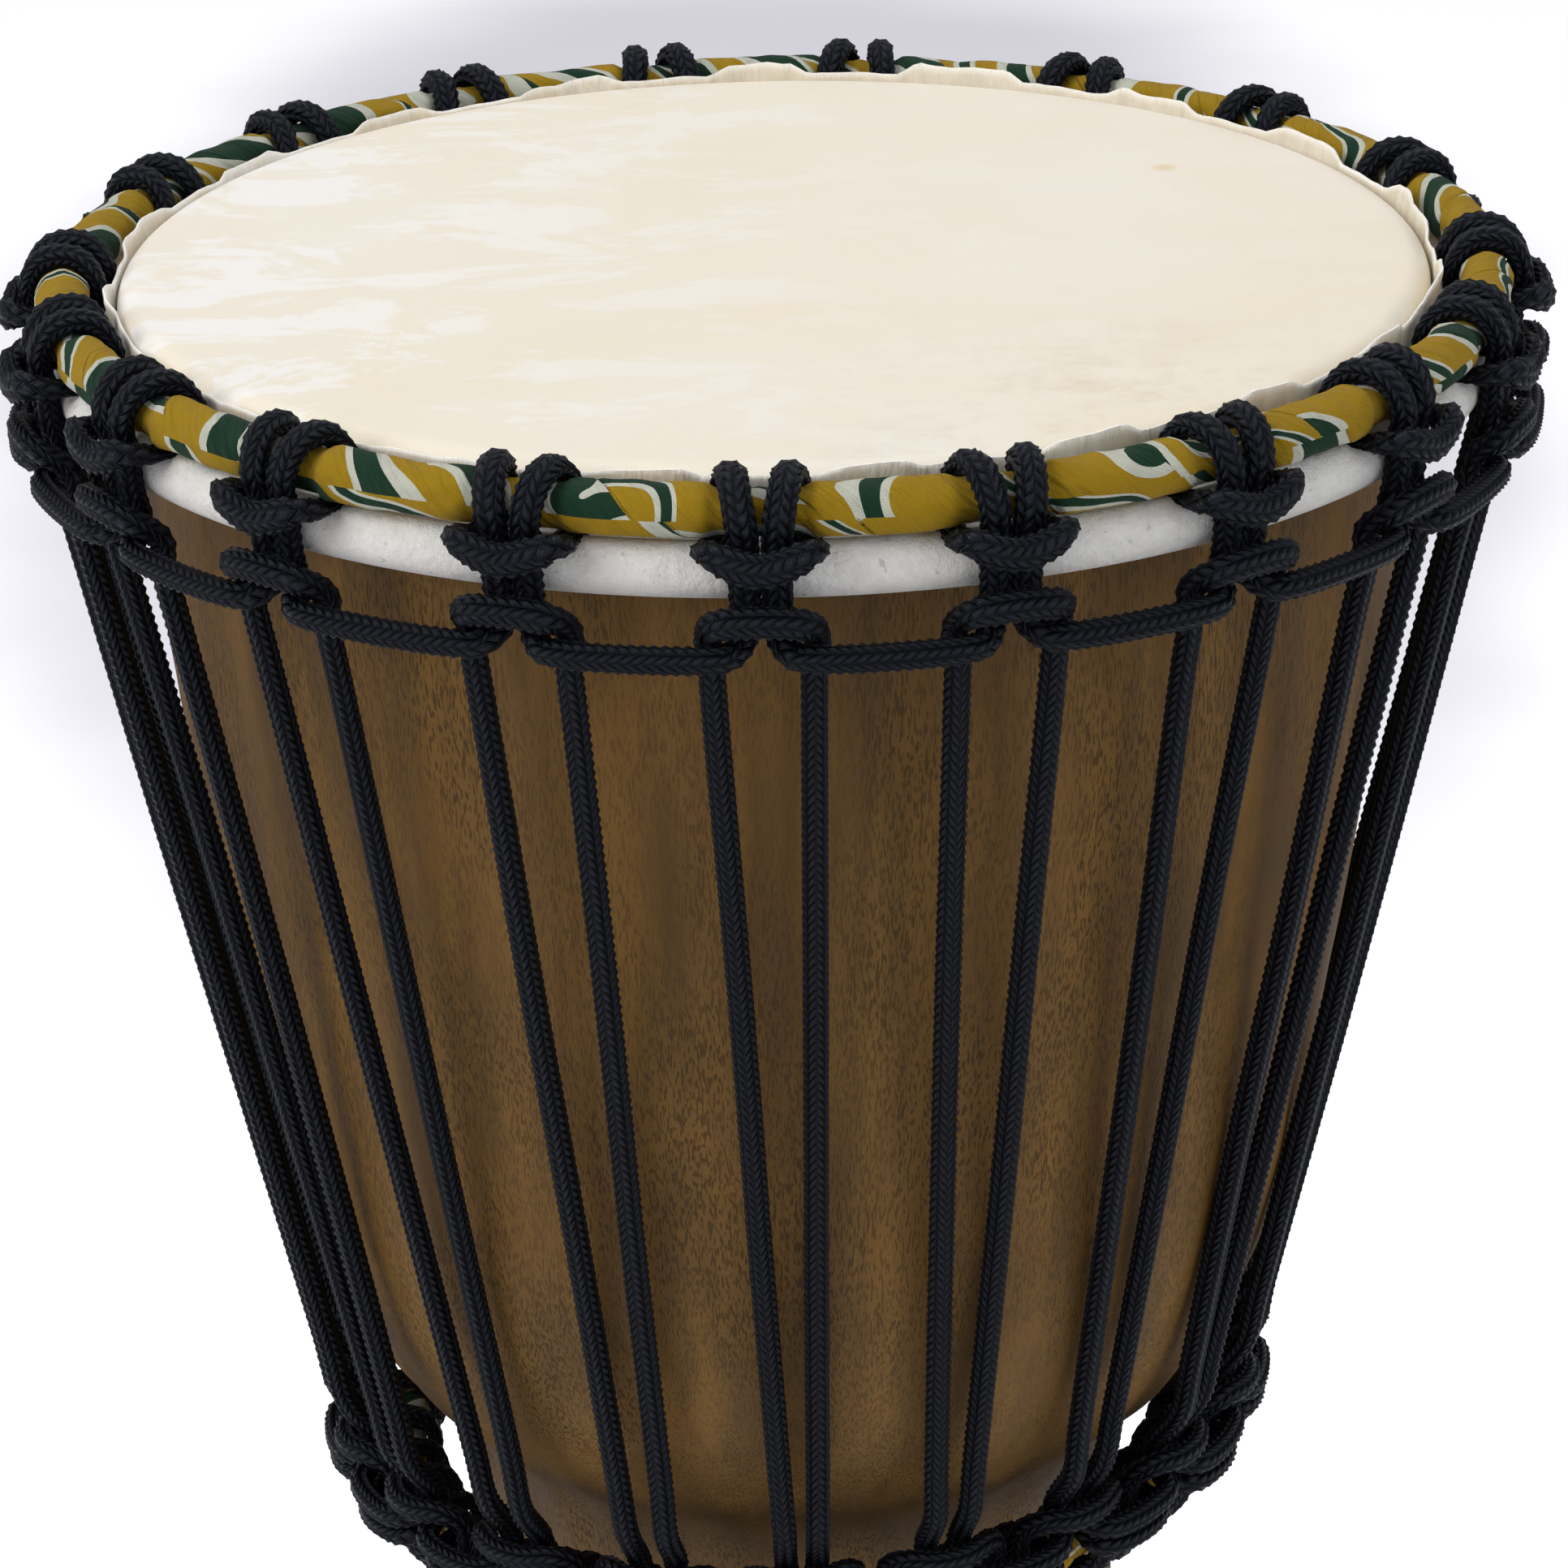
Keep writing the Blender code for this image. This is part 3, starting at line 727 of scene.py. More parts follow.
def braid_tree():
    """A tree that turns a route mesh into rope whose strand floats stand up in two leans."""
    tree = bpy.data.node_groups.new("Braided rope", "GeometryNodeTree")
    sockets = (
        ("Route", "NodeSocketGeometry", "INPUT"), ("Rows", "NodeSocketInt", "INPUT"),
        ("Lean", "NodeSocketFloat", "INPUT"), ("Crest", "NodeSocketFloat", "INPUT"),
        ("Groove", "NodeSocketFloat", "INPUT"), ("Edge", "NodeSocketFloat", "INPUT"),
        ("Finish", "NodeSocketMaterial", "INPUT"), ("Rope", "NodeSocketGeometry", "OUTPUT"),
    )
    for name, kind, side in sockets:
        tree.interface.new_socket(name, in_out=side, socket_type=kind)
    nodes = Nodes(tree)
    given = nodes.add("NodeGroupInput")
    curve = nodes.add("GeometryNodeMeshToCurve", {"Mesh": given.outputs["Route"]})
    even = nodes.add("GeometryNodeResampleCurve", {
        "Curve": curve, "Count": given.outputs["Rows"]}, mode="COUNT")
    kept = nodes.add("GeometryNodeCaptureAttribute", {"Geometry": even})
    kept.capture_items.new("VECTOR", "Centre")
    kept.capture_items.new("VECTOR", "Along")
    nodes.put(kept.inputs["Centre"], nodes.add("GeometryNodeInputPosition"))
    nodes.put(kept.inputs["Along"], nodes.add("GeometryNodeInputTangent"))
    section = nodes.add("GeometryNodeCurvePrimitiveCircle", {"Resolution": SIDES, "Radius": MM})
    tube = nodes.add("GeometryNodeCurveToMesh", {
        "Curve": kept.outputs["Geometry"], "Profile Curve": section, "Fill Caps": True})
    index = nodes.add("GeometryNodeInputIndex").outputs[0]
    row = nodes.math("FLOOR", nodes.math("DIVIDE", nodes.math("ADD", index, 0.5), SIDES))
    column = nodes.math("ROUND", nodes.math("SUBTRACT", index, nodes.math("MULTIPLY", row, SIDES)))
    wale = nodes.math("FLOOR", nodes.math("DIVIDE", nodes.math("ADD", column, 0.5), 2.0))
    middle = nodes.math("SUBTRACT", column, nodes.math("MULTIPLY", wale, 2.0))
    odd_wale = nodes.math("MODULO", wale, 2.0)
    raised = nodes.math("MODULO", nodes.math("ADD", row, odd_wale), 2.0)
    shift = nodes.math("MULTIPLY", nodes.math("MULTIPLY_ADD", odd_wale, 2.0, -1.0),
                       nodes.math("MULTIPLY", given.outputs["Lean"],
                                  nodes.math("SUBTRACT", 1.0, middle)))
    float_height = nodes.math("ADD", given.outputs["Groove"], nodes.math(
        "MULTIPLY", raised,
        nodes.math("SUBTRACT", given.outputs["Crest"], given.outputs["Groove"])))
    height = nodes.math("ADD", nodes.math("MULTIPLY", middle, float_height), nodes.math(
        "MULTIPLY", nodes.math("SUBTRACT", 1.0, middle), given.outputs["Edge"]))
    read = {}
    for name, kind in (("facing", "FLOAT_VECTOR"), ("press", "FLOAT"), ("spread", "FLOAT")):
        read[name] = nodes.add("GeometryNodeInputNamedAttribute", {"Name": name}, data_type=kind)
    along = nodes.vector("NORMALIZE", kept.outputs["Along"])
    facing = read["facing"].outputs[0]
    level = nodes.vector("SCALE", along, scale=nodes.vector("DOT_PRODUCT", facing, along))
    out = nodes.vector("NORMALIZE", nodes.vector("SUBTRACT", facing, level))
    aside = nodes.vector("CROSS_PRODUCT", along, out)
    angle = nodes.math("MULTIPLY_ADD", column, 2 * math.pi / SIDES, math.pi)
    rise = nodes.math("MULTIPLY", nodes.math("MULTIPLY", nodes.math("COSINE", angle), height),
                      read["press"].outputs[0])
    width = nodes.math("MULTIPLY", nodes.math("MULTIPLY", nodes.math("SINE", angle), height),
                       read["spread"].outputs[0])
    place = nodes.vector("ADD", kept.outputs["Centre"], nodes.vector("SCALE", along, scale=shift))
    place = nodes.vector("ADD", place, nodes.vector("SCALE", out, scale=rise))
    place = nodes.vector("ADD", place, nodes.vector("SCALE", aside, scale=width))
    braid_map = nodes.add("ShaderNodeCombineXYZ", {
        "X": nodes.math("MULTIPLY", row, 0.5), "Y": nodes.math("MULTIPLY", column, 0.5)})
    marked = nodes.add("GeometryNodeStoreNamedAttribute", {
        "Geometry": tube, "Name": "braid_map", "Value": braid_map},
        data_type="FLOAT_VECTOR", domain="POINT")
    crest = nodes.math("MULTIPLY", middle, nodes.math("MULTIPLY_ADD", raised, 0.75, 0.25))
    marked = nodes.add("GeometryNodeStoreNamedAttribute", {
        "Geometry": marked, "Name": "crest", "Value": crest}, data_type="FLOAT", domain="POINT")
    moved = nodes.add("GeometryNodeSetPosition", {"Geometry": marked, "Position": place})
    finished = nodes.add("GeometryNodeSetMaterial", {
        "Geometry": nodes.add("GeometryNodeRealizeInstances", {"Geometry": moved}),
        "Material": given.outputs["Finish"]})
    nodes.add("NodeGroupOutput", {"Rope": finished})
    return tree


def braided(name, rows, closed, pitch, tree, values, finish):
    """A rope piece: its route made a mesh of edges, braided by the tree and baked."""
    rows = catmull(rows, closed, ROUTE_STEP * MM)
    ends = np.roll(rows, -1, axis=0) if closed else rows[1:]
    length = np.linalg.norm(ends[:, :3] - rows[:len(ends), :3], axis=1).sum()
    count = 2 * round(length / pitch)
    edges = [(i, (i + 1) % len(rows)) for i in range(len(ends))]
    path = bpy.data.meshes.new(name + "_path")
    path.from_pydata(rows[:, :3].tolist(), edges, [])
    for label, kind, field, data in (("facing", "FLOAT_VECTOR", "vector", rows[:, 3:6]),
                                     ("press", "FLOAT", "value", rows[:, 6]),
                                     ("spread", "FLOAT", "value", rows[:, 7])):
        attribute = path.attributes.new(label, kind, "POINT")
        attribute.data.foreach_set(field, np.ascontiguousarray(data, np.float32).ravel())
    carrier = bpy.data.objects.new(name, path)
    bpy.context.collection.objects.link(carrier)
    modifier = carrier.modifiers.new("Braid", "NODES")
    modifier.node_group = tree
    sockets = {item.name: item.identifier for item in tree.interface.items_tree}
    for label, value in (("Rows", count), ("Finish", finish), *values.items()):
        modifier[sockets[label]] = value
    evaluated = carrier.evaluated_get(bpy.context.evaluated_depsgraph_get())
    mesh = bpy.data.meshes.new_from_object(evaluated)
    if not mesh.polygons:
        raise RuntimeError(f"the braid of {name} has no faces")
    carrier.modifiers.clear()
    carrier.data = mesh
    bpy.data.meshes.remove(path)
    builder = bmesh.new()
    builder.from_mesh(mesh)
    bmesh.ops.recalc_face_normals(builder, faces=builder.faces)
    builder.to_mesh(mesh)
    builder.free()
    mesh.name = name
    mesh.shade_smooth()
    for label in ("facing", "press", "spread"):
        if label in mesh.attributes:
            mesh.attributes.remove(mesh.attributes[label])
    return carrier


# Settings

class DjembeSizes(bpy.types.PropertyGroup):
    """Sizes of the drum's fine surface."""

    braid_pitch: FloatProperty(
        name="Braid pitch", description="Length of rope that one strand float takes",
        default=1.95 * MM, min=0.5 * MM, unit="LENGTH", precision=5)
    strand_lean: FloatProperty(
        name="Strand lean", description="How far a float's two ends lie apart along the rope",
        default=0.95 * MM, min=0.0, unit="LENGTH", precision=5)
    lace_stretches: IntProperty(
        name="Lace stretches", description="Pieces that the long tuning lace is made in",
        default=3, min=1, max=6)
    carving_depth: FloatProperty(
        name="Carving depth", description="Depth of the soft hand-carved waves on the shell",
        default=0.9 * MM, min=0.0, unit="LENGTH", precision=5)
    lip_height: FloatProperty(
        name="Lip height", description="Mean height of the trimmed skin above the crown ring",
        default=3.0 * MM, min=0.0, unit="LENGTH", precision=5)
    lace_slack: FloatProperty(
        name="Lace slack", description="Sideways bow of the long verticals",
        default=0.35 * MM, min=0.0, unit="LENGTH", precision=5)


class DjembeColours(bpy.types.PropertyGroup):
    """Colours of the drum's finishes."""

    wood: FloatVectorProperty(
        name="Wood", description="Oiled wood of the bowl", subtype="COLOR", size=3, min=0, max=1,
        default=(0.163, 0.083, 0.0185))
    # lighter colour mixed in by height towards the waist and stem
    waist_tone: FloatVectorProperty(
        name="Pale wood", description="Lighter wood at the waist and stem", subtype="COLOR",
        size=3, min=0, max=1, default=(0.33, 0.21, 0.095))
    skin: FloatVectorProperty(
        name="Skin", description="Shaved goatskin", subtype="COLOR", size=3, min=0, max=1,
        default=(0.88, 0.825, 0.71))
    yellow_skin: FloatVectorProperty(
        name="Yellow skin", description="Thicker, yellower patches of the skin",
        subtype="COLOR", size=3, min=0, max=1, default=(0.86, 0.775, 0.61))
    chalk_skin: FloatVectorProperty(
        name="Chalky skin", description="Scraped, whiter patches of the skin",
        subtype="COLOR", size=3, min=0, max=1, default=(0.93, 0.91, 0.88))
    suede: FloatVectorProperty(
        name="Suede", description="Flesh side of the skin where it is folded round its ring",
        subtype="COLOR", size=3, min=0, max=1, default=(0.96, 0.935, 0.895))
    gold: FloatVectorProperty(
        name="Gold print", description="Gold of the printed cotton", subtype="COLOR", size=3,
        min=0, max=1, default=(0.47, 0.285, 0.006))
    green: FloatVectorProperty(
        name="Green print", description="Dark green of the printed cotton", subtype="COLOR",
        size=3, min=0, max=1, default=(0.005, 0.044, 0.020))
    off_white: FloatVectorProperty(
        name="Off-white print", description="Unprinted lines of the cotton", subtype="COLOR",
        size=3, min=0, max=1, default=(0.76, 0.77, 0.64))
    rope: FloatVectorProperty(
        name="Rope", description="Braided rope", subtype="COLOR", size=3, min=0, max=1,
        default=(0.0028, 0.0030, 0.0044))


class DjembeStage(bpy.types.PropertyGroup):
    """The camera's place, the lights and the paper."""

    distance: FloatProperty(
        name="Camera distance", description="From the crown ring's centre to the camera",
        default=0.959, min=0.1, unit="LENGTH")
    azimuth: FloatProperty(
        name="Azimuth", description="Turn of the camera round the drum from the front",
        default=math.radians(1.3), subtype="ANGLE")
    elevation: FloatProperty(
        name="Elevation", description="Height of the camera above the crown ring, as an angle",
        default=math.radians(17.41), subtype="ANGLE")
    dip: FloatProperty(
        name="Dip", description="How far below the crown ring's centre the camera looks",
        default=math.radians(5.96), subtype="ANGLE")
    roll: FloatProperty(
        name="Roll", description="Turn of the camera about its own axis",
        default=math.radians(-1.17), subtype="ANGLE")
    lens: FloatProperty(
        name="Lens", description="Focal length on a 36 mm wide sensor, in millimetres",
        default=113.7, min=10.0)
    paper: FloatVectorProperty(
        name="Paper", description="Studio paper", subtype="COLOR", size=3, min=0, max=1,
        default=(0.95, 0.95, 0.955))
    # painted shadow of the drum: greyer paper colour behind it
    painted_shadow: FloatVectorProperty(
        name="Cloud", description="Greyer paper behind the drum", subtype="COLOR", size=3, min=0,
        max=1, default=(0.66, 0.645, 0.70))
    key_power: FloatProperty(
        name="Key power", description="Power of the large light over the left shoulder",
        default=33.0, min=0.0)
    fill_power: FloatProperty(
        name="Fill power", description="Power of the soft light from the right", default=8.0,
        min=0.0)
    top_power: FloatProperty(
        name="Top power", description="Power of the light over the head", default=13.5, min=0.0)


# Pieces

class DJEMBE_OT_shell(bpy.types.Operator):
    """Carve the goblet: bearing edge, bowl, waist, stem and foot, hollow right through"""

    bl_idname = "djembe.shell"
    bl_label = "Shell"

    TURNS = 240
    MEAN_RADIUS = 100

    def outside(self):
        """The outer profile from the bearing edge to the foot, in millimetres below the crown."""
        round_edge = arc(EDGE_CENTRE, EDGE_ROUND, 90, 0, 6)
        bowl = [(123.4, -25), (122.0, -50), (117.0, -95), (110.5, -140), (103.5, -180),
                (95.0, -208)]
        turn = [(84.5, -226), (74.5, -237), (70.0, -246), (67.5, -260), (66.5, -278)]
        stem = [(67.5, -305), (71.0, -350), (77.0, -405), (84.0, -460), (88.2, -488)]
        side = catmull([round_edge[-1]] + bowl + turn + stem, False, 2.2)
        foot = arc((86.7, 2.0 - CROWN_Z / MM), 2.0, 0, -90, 4)
        return round_edge[:-1] + [tuple(point) for point in side] + foot

    def inside(self):
        """The bore from the foot up to the bearing edge."""
        floor = -CROWN_Z / MM
        points = [(77.0, floor), (75.0, -470), (67.0, -405), (59.5, -340), (54.5, -285),
                  (60.0, -256), (76.0, -224), (90.5, -180), (98.5, -140), (107.5, -80),
                  (111.5, -25), (112.5, -3.2)]
        return [tuple(point) for point in catmull(points, False, 5.0)] + [(117.5, 2.3)]

    def execute(self, context):
        """Revolve the profile and press the carver's waves into its outside."""
        outer, inner = self.outside(), self.inside()
        outline = np.array(outer + inner)
        angles = even_turns(self.TURNS)
        depth = context.scene.djembe_sizes.carving_depth / MM
        waves = 0
        for share, scale, seed, stretch in ((1, 15, 3.0, 7.0), (0.5, 7, 9.0, 6.0),
                                            (0.35, 30, 21.0, 0.5)):
            waves = waves + share * rough(angles, self.MEAN_RADIUS, outline[:, 1], scale, seed,
                                          stretch)
        drop = -outline[:, 1]
        near_edges = np.clip((drop - 12) / 25, 0, 1) * np.clip((490 - drop) / 20, 0, 1)
        near_edges[len(outer):] *= 0.6
        radius = outline[:, 0][None, :] + waves * depth * near_edges[None, :]
        height = np.repeat(outline[:, 1][None, :], self.TURNS, axis=0)
        mesh = solid("goblet_shell", in_place(radius, height, angles, CROWN_Z))
        shell = linked("goblet_shell", mesh, wood_finish(context.scene.djembe_colours), 50)
        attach(shell, "root")
        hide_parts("shell")
        return {"FINISHED"}


class DJEMBE_OT_skin(bpy.types.Operator):
    """Stretch the goatskin over the edge, fold it round its ring and trim its wavy lip"""

    bl_idname = "djembe.skin"
    bl_label = "Goatskin"

    TURNS = 480
    THICKNESS = 0.9
    FOLD_BORE = 3.3
    FOLD_SWELL = 1.2
    LIP_RADIUS = 126
    PRESS_HALF = 6.2            # degrees from a hitch's middle to where it frees the lip
    PRESS_FADE = 1.8

    def spine(self):
        """The skin's middle line up to the lip's root: radius, height, thickness, suede."""
        thick = self.THICKNESS
        rows = [(radius, HEAD_RISE - thick / 2, thick, 0.0) for radius in np.linspace(0, 118, 22)]
        edge = arc(EDGE_CENTRE, EDGE_ROUND + 0.3 + thick / 2, 90, 0, 8)
        rows += [(*point, thick, 0.0) for point in edge]
        rows.append((125.3, -5.0, thick, 0.3))
        for angle in np.linspace(205, 482, 26):
            swell = min(1.0, max(0.0, (angle - 212) / 25), max(0.0, (462 - angle) / 30))
            wall = thick + self.FOLD_SWELL * swell
            middle = self.FOLD_BORE + wall / 2
            point = arc((FLESH_RADIUS, -FLESH_DROP), middle, angle, angle, 0)[0]
            rows.append((*point, wall, 1.0))
        rows += [(129.6, -6.6, 0.9, 0.8), (127.4, -5.9, 0.9, 0.6), (126.6, -4.2, 0.8, 0.3)]
        return np.array(rows)

    def lip(self, angles, mean):
        """How high the trimmed edge stands and how far it leans out, for each turn."""
        tall, right, rear = (np.exp(-((np.degrees(angles) - middle) / width) ** 2)
                             for middle, width in ((300, 34), (350, 30), (70, 60)))
        ripple, slow, quick = (rough(angles, self.LIP_RADIUS, [0.0], scale, seed)[:, 0]
                               for scale, seed in ((9, 31.0), (28, 47.0), (3.2, 53.0)))
        height = mean + 2.6 * tall + 1.6 * right + 3.0 * rear + 1.2 * slow + 0.8 * ripple
        height += 0.25 * quick
        lean = 1.1 + (0.9 + 0.8 * right) * ripple + 0.6 * slow + 0.2 * quick
        return height, lean

    def hitch_press(self, angles):
        """1 under a crown hitch's ropes and 0 between them."""
        press = np.zeros(len(angles))
        for knot in range(KNOTS):
            apart = (np.degrees(angles) - crown_angle(knot) + 180) % 360 - 180
            held = np.clip((self.PRESS_HALF - np.abs(apart)) / self.PRESS_FADE, 0, 1)
            press = np.maximum(press, held)
        return press

    def execute(self, context):
        """Offset the spine to both faces at every turn, with a wavy lip and a rough fold."""
        angles = even_turns(self.TURNS)
        spine = self.spine()
        height, lean = self.lip(angles, context.scene.djembe_sizes.lip_height / MM)
        press = self.hitch_press(angles)
        lean = np.clip(lean, -0.1, 3.4) * (1 - press)
        height = height * (1 - 0.35 * press)
        root = spine[-1]
        lines = np.repeat(spine[None], self.TURNS, axis=0)
        lip_parts = (0.25, 0.5, 0.75, 0.9, 1.0)
        for part in lip_parts:
            row = np.empty((self.TURNS, 1, 4))
            row[:, 0, 0] = root[0] - 0.2 * part + lean * part ** 1.3
            row[:, 0, 1] = root[1] + (height - root[1]) * part
            row[:, 0, 2] = 0.75 if part < 0.95 else 0.35
            row[:, 0, 3] = 0.3 * (1 - part)
            lines = np.concatenate([lines, row], axis=1)
        along = np.gradient(lines[:, :, :2], axis=1)
        along /= np.linalg.norm(along, axis=2, keepdims=True)
        normal = np.stack([-along[:, :, 1], along[:, :, 0]], -1)
        normal[:, 0] = (0, 1)
        bumpy = rough(angles, FLESH_RADIUS, spine[:, 1], 6, 5.0, 0.8)
        bumpy += 0.5 * rough(angles, FLESH_RADIUS, spine[:, 1], 2.4, 15.0, 0.8)
        growth = np.zeros(lines.shape[:2])
        growth[:, :len(spine)] = 0.42 * bumpy * np.clip(spine[:, 3] - 0.3, 0, 1)[None, :]
        half = lines[:, :, 2:3] / 2
        outer = lines[:, :, :2] + normal * (half + growth[:, :, None])
        inner = lines[:, :, :2] - normal * half
        loop = np.concatenate([outer, inner[:, ::-1]], axis=1)
        mesh = solid("goatskin_head", in_place(loop[:, :, 0], loop[:, :, 1], angles, CROWN_Z))
        trimmed = np.zeros(lines.shape[:2])
        trimmed[:, len(spine) - 1:] = np.linspace(0.3, 1, len(lip_parts) + 1)
        for name, values in (("suede", lines[:, :, 3]), ("lip", trimmed)):
            both_faces = np.concatenate([values, values[:, ::-1]], axis=1)
            mark = mesh.attributes.new(name, "FLOAT", "POINT")
            mark.data.foreach_set("value", both_faces.astype(np.float32).ravel())
        weld(mesh)
        skin = linked("goatskin_head", mesh, skin_finish(context.scene.djembe_colours), 75)
        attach(skin, "root")
        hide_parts("drumhead")
        return {"FINISHED"}


class DJEMBE_OT_cloth(bpy.types.Operator):
    """Wind the printed cotton round the crown ring and the cradle ring"""

    bl_idname = "djembe.cloth"
    bl_label = "Ring cloth"

    AROUND = 26
    BORE = 3.4
    REACH = 4.9
    PINCHED_REACH = 4.0
    PINCH_HALF = 9.6            # from a hitch's middle to where it stops holding the cloth
    PINCH_FADE = 2.6
    LAP_HEIGHT = 0.22

    def pinched(self, angles, radius, knots):
        """1 under the ropes of a hitch and 0 away from them."""
        pinch = np.zeros(len(angles))
        for knot in knots:
            apart = (np.degrees(angles) - knot + 180) % 360 - 180
            apart = np.abs(np.radians(apart)) * radius
            held = np.clip((self.PINCH_HALF - apart) / self.PINCH_FADE, 0, 1)
            held *= 1 - 0.35 * np.clip(1.6 - apart, 0, 1)
            pinch = np.maximum(pinch, held)
        return pinch * pinch * (3 - 2 * pinch)

    def wind(self, name, node, radius, base_z, tilt, flat, turns, seed, knots, finish,
             rod, strip):
        """One cloth sleeve with lapped turns and creases, hollow for the rod."""
        angles, around = even_turns(turns), even_turns(self.AROUND)
        arc_length = angles * radius
        slant = arc_length[:, None] + around[None, :] * SLEEVE_RADIUS * STRIP_LEAN
        part = np.mod(slant / STRIP_WIDTH, 1.0)
        lap = self.LAP_HEIGHT * np.clip(part / 0.03, 0, 1) * (1 - 0.9 * part)
        creases = rough(angles, radius, np.degrees(around), 5, seed, 6.0)
        soft = rough(angles, radius, np.degrees(around), 13, seed + 11, 9.0)
        reach = self.REACH + lap + 0.40 * creases + 0.30 * soft
        pinch = self.pinched(angles, radius, knots)[:, None]
        reach = reach * (1 - pinch) + (self.PINCHED_REACH + 0.06 * creases) * pinch
        shapes = []
        for wall, inside_out in ((reach, False), (np.full_like(reach, self.BORE), True)):
            across = radius + wall * np.cos(around)[None, :]
            height = np.maximum(wall * np.sin(around)[None, :], -flat + 0.25 * lap)
            points = in_place(across, height, angles, base_z, tilt)
            shapes.append(solid(name + str(inside_out), points, inside_out))
        builder = bmesh.new()
        for shape in shapes:
            builder.from_mesh(shape)
        mesh = bpy.data.meshes.new(name)
        builder.to_mesh(mesh)
        builder.free()
        self.map(mesh, turns, radius)
        for shape in shapes:
            bpy.data.meshes.remove(shape)
        cloth = linked(name, mesh, finish, 80)
        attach(cloth, "root")
        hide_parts(node)

    def map(self, mesh, turns, radius):
        """A map in metres: along the ring and round the sleeve, whole across its seams."""
        layer = mesh.uv_layers.new(name="wrap_map")
        loops = np.empty(len(mesh.loops), int)
        mesh.loops.foreach_get("vertex_index", loops)
        local = loops % (turns * self.AROUND)
        turn, step = local // self.AROUND, local % self.AROUND
        turn, step = turn.reshape(-1, 4).astype(float), step.reshape(-1, 4).astype(float)
        turn[(turn.max(1) - turn.min(1) > 1)[:, None] & (turn == 0)] = turns
        step[(step.max(1) - step.min(1) > 1)[:, None] & (step == 0)] = self.AROUND
        along = turn / turns * 2 * math.pi * radius * MM
        round_it = step / self.AROUND * 2 * math.pi * SLEEVE_RADIUS * MM
        layer.data.foreach_set("uv", np.stack([along, round_it], -1).astype(np.float32).ravel())

    def execute(self, context):
        """Both sleeves, each with its own copy of the printed cotton."""
        colours = context.scene.djembe_colours
        tops = [crown_angle(knot) for knot in range(KNOTS)]
        feet = [cradle_angle(knot) for knot in range(KNOTS)]
        self.wind("crown_cloth", "crown_ring_cloth", CROWN_RADIUS, CROWN_Z, 0.0, 3.7, 900, 2.0,
                  tops, cotton_finish("Printed cotton of the crown", colours), "crown_ring",
                  (0.031, 0.695))
        self.wind("cradle_cloth", "cradle_ring_cloth", CRADLE_RADIUS, CRADLE_Z, CRADLE_TILT, 5.1,
                  600, 40.0, feet, cotton_finish("Printed cotton of the cradle", colours),
                  "cradle_ring", (0.031, 0.42))
        return {"FINISHED"}


class DJEMBE_OT_rods(bpy.types.Operator):
    """Give the three steel rods inside the skin and the cloth their finish"""

    bl_idname = "djembe.rods"
    bl_label = "Ring rods"

    def execute(self, context):
        """Put the steel on the frame's own rods."""
        steel = steel_finish()
        for name in ("flesh_ring", "crown_ring", "cradle_ring"):
            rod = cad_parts[name]
            for slot in rod.material_slots:
                slot.material = steel
        return {"FINISHED"}


class DJEMBE_OT_lacing(bpy.types.Operator):
    """Braid the hitch ropes of both rings and the long tuning lace between them"""

    bl_idname = "djembe.lacing"
    bl_label = "Lacing"

    CREST = 1.06                # heights of a float's middle when raised and when under,
    GROOVE = 0.89               # and of its edges, as shares of the rope's radius
    EDGE = 0.91
    CROWN_COLLAR = (0, 147.7, -6.3, 0.88, 1.26, 360)
    CRADLE_COLLAR = (0, 97.0, 4.4, 1.0, 1.0, -360)

    def execute(self, context):
        """Run the braid tree along each route."""
        sizes = context.scene.djembe_sizes
        finish = rope_finish(context.scene.djembe_colours)
        tree = braid_tree()
        values = {"Lean": sizes.strand_lean, "Crest": self.CREST, "Groove": self.GROOVE,
                  "Edge": self.EDGE}
        crown = hitch_route(crown_hitch_half(), self.CROWN_COLLAR, on_crown)
        cradle = hitch_route(cradle_hitch_half(), self.CRADLE_COLLAR, on_cradle)
        pieces = [("crown_hitch_braid", "crown_hitch_rope", crown, True),
                  ("cradle_hitch_braid", "cradle_hitch_rope", cradle, True)]
        for number, rows in enumerate(tuning_routes(sizes.lace_stretches), 1):
            rows = with_spans(rows, sizes.lace_slack, number)
            pieces.append((f"tuning_lace_{number}", "tuning_rope", rows, False))
        for name, node, rows, closed in pieces:
            piece = braided(name, rows, closed, sizes.braid_pitch, tree, values, finish)
            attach(piece, "root")
            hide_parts(node)
        return {"FINISHED"}


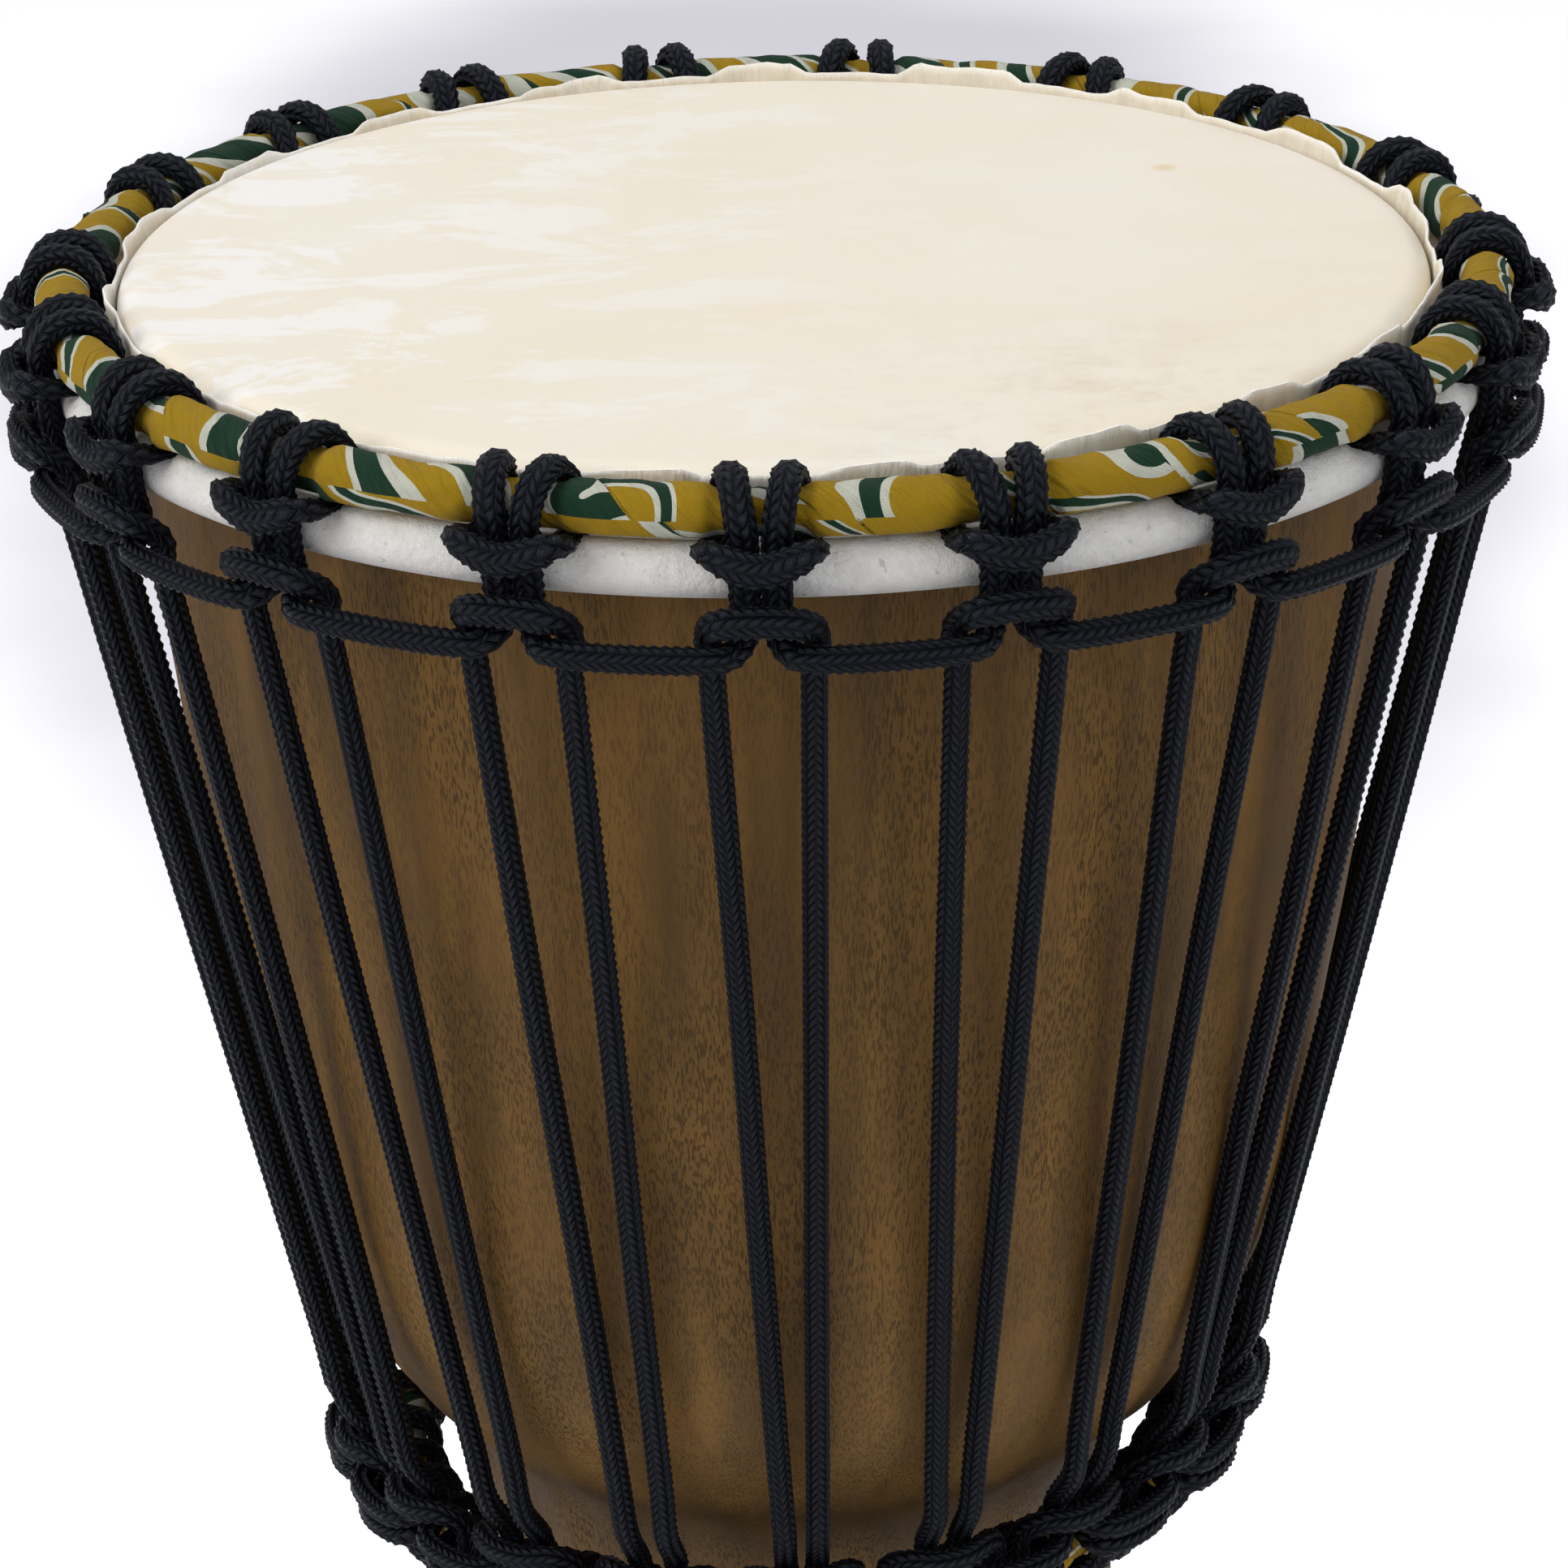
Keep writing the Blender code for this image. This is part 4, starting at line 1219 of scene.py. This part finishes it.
class DJEMBE_OT_stage(bpy.types.Operator):
    """Lay the pale paper, hang the soft lights and set the camera"""

    bl_idname = "djembe.stage"
    bl_label = "Stage"

    def light(self, name, place, aim, size, power, tint):
        """One square soft light that faces a point."""
        lamp = bpy.data.lights.new(name, "AREA")
        lamp.shape = "SQUARE"
        lamp.size = size
        lamp.energy = power
        lamp.color = tint
        made = bpy.data.objects.new(name, lamp)
        bpy.context.collection.objects.link(made)
        made.location = place
        made.rotation_euler = (Vector(aim) - Vector(place)).to_track_quat("-Z", "Y").to_euler()

    def camera(self, stage):
        """The camera over the front edge, looking down past the head at the bowl."""
        centre = Vector((0, 0, CROWN_Z))
        back = Vector((math.sin(stage.azimuth) * math.cos(stage.elevation),
                       -math.cos(stage.azimuth) * math.cos(stage.elevation),
                       math.sin(stage.elevation)))
        right = Vector((math.cos(stage.azimuth), math.sin(stage.azimuth), 0))
        forward = Matrix.Rotation(-stage.dip, 3, right) @ -back
        right = Matrix.Rotation(-stage.roll, 3, forward) @ right
        up = right.cross(forward)
        data = bpy.data.cameras.new("Camera")
        data.lens = stage.lens
        data.sensor_width = 36.0
        data.clip_start = 0.05
        made = bpy.data.objects.new("Camera", data)
        bpy.context.collection.objects.link(made)
        turn = Matrix((right, up, -forward)).transposed().to_4x4()
        made.matrix_world = Matrix.Translation(centre + back * stage.distance) @ turn
        bpy.context.scene.camera = made

    def execute(self, context):
        """A round sheet of paper, three soft lights, a pale world and the camera."""
        stage = context.scene.djembe_stage
        sheet = bmesh.new()
        bmesh.ops.create_circle(sheet, cap_ends=True, segments=96, radius=14.0)
        mesh = bpy.data.meshes.new("studio_paper")
        sheet.to_mesh(mesh)
        sheet.free()
        paper = linked("studio_paper", mesh, paper_finish(stage))
        paper.location.z = -0.0005
        aim = (0, 0, 0.4)
        self.light("Key light", (-1.75, -1.05, 1.8), aim, 1.6, stage.key_power, (1.0, 0.99, 0.97))
        self.light("Fill light", (1.5, -1.1, 1.0), aim, 1.4, stage.fill_power, (0.96, 0.98, 1.0))
        self.light("Top light", (0.1, 0.5, 2.2), aim, 1.8, stage.top_power, (1.0, 1.0, 1.0))
        world = bpy.data.worlds.new("Pale studio")
        world.use_nodes = True
        nodes = Nodes(world.node_tree)
        seen = nodes.add("ShaderNodeLightPath").outputs["Is Camera Ray"]
        background = world.node_tree.nodes["Background"]
        background.inputs["Color"].default_value = (0.94, 0.95, 1.0, 1.0)
        nodes.put(background.inputs["Strength"], nodes.math("MULTIPLY_ADD", seen, 0.5, 0.42))
        context.scene.world = world
        context.scene.view_settings.view_transform = "Standard"
        self.camera(stage)
        return {"FINISHED"}


class DJEMBE_PT_panel(bpy.types.Panel):
    """The drum's operators and settings"""

    bl_idname = "DJEMBE_PT_panel"
    bl_label = "Djembe"
    bl_space_type = "VIEW_3D"
    bl_region_type = "UI"
    bl_category = "Djembe"

    def draw(self, context):
        """List each operator, then each setting."""
        for operator in OPERATORS:
            self.layout.operator(operator.bl_idname)
        for group in (context.scene.djembe_sizes, context.scene.djembe_colours,
                      context.scene.djembe_stage):
            box = self.layout.box()
            for name in group.__annotations__:
                box.prop(group, name)


OPERATORS = (DJEMBE_OT_shell, DJEMBE_OT_skin, DJEMBE_OT_cloth, DJEMBE_OT_rods,
             DJEMBE_OT_lacing, DJEMBE_OT_stage)
GROUPS = (("djembe_sizes", DjembeSizes), ("djembe_colours", DjembeColours),
          ("djembe_stage", DjembeStage))


def register():
    """Register the settings, the operators and the panel."""
    for name, group in GROUPS:
        bpy.utils.register_class(group)
        setattr(bpy.types.Scene, name, PointerProperty(type=group))
    for made in (*OPERATORS, DJEMBE_PT_panel):
        bpy.utils.register_class(made)


def unregister():
    """Take them away again."""
    for made in (DJEMBE_PT_panel, *reversed(OPERATORS)):
        bpy.utils.unregister_class(made)
    for name, group in reversed(GROUPS):
        delattr(bpy.types.Scene, name)
        bpy.utils.unregister_class(group)


def main():
    """Make every piece in order."""
    register()
    for operator in OPERATORS:
        family, call = operator.bl_idname.split(".")
        getattr(getattr(bpy.ops, family), call)()


if __name__ == "__main__":
    main()
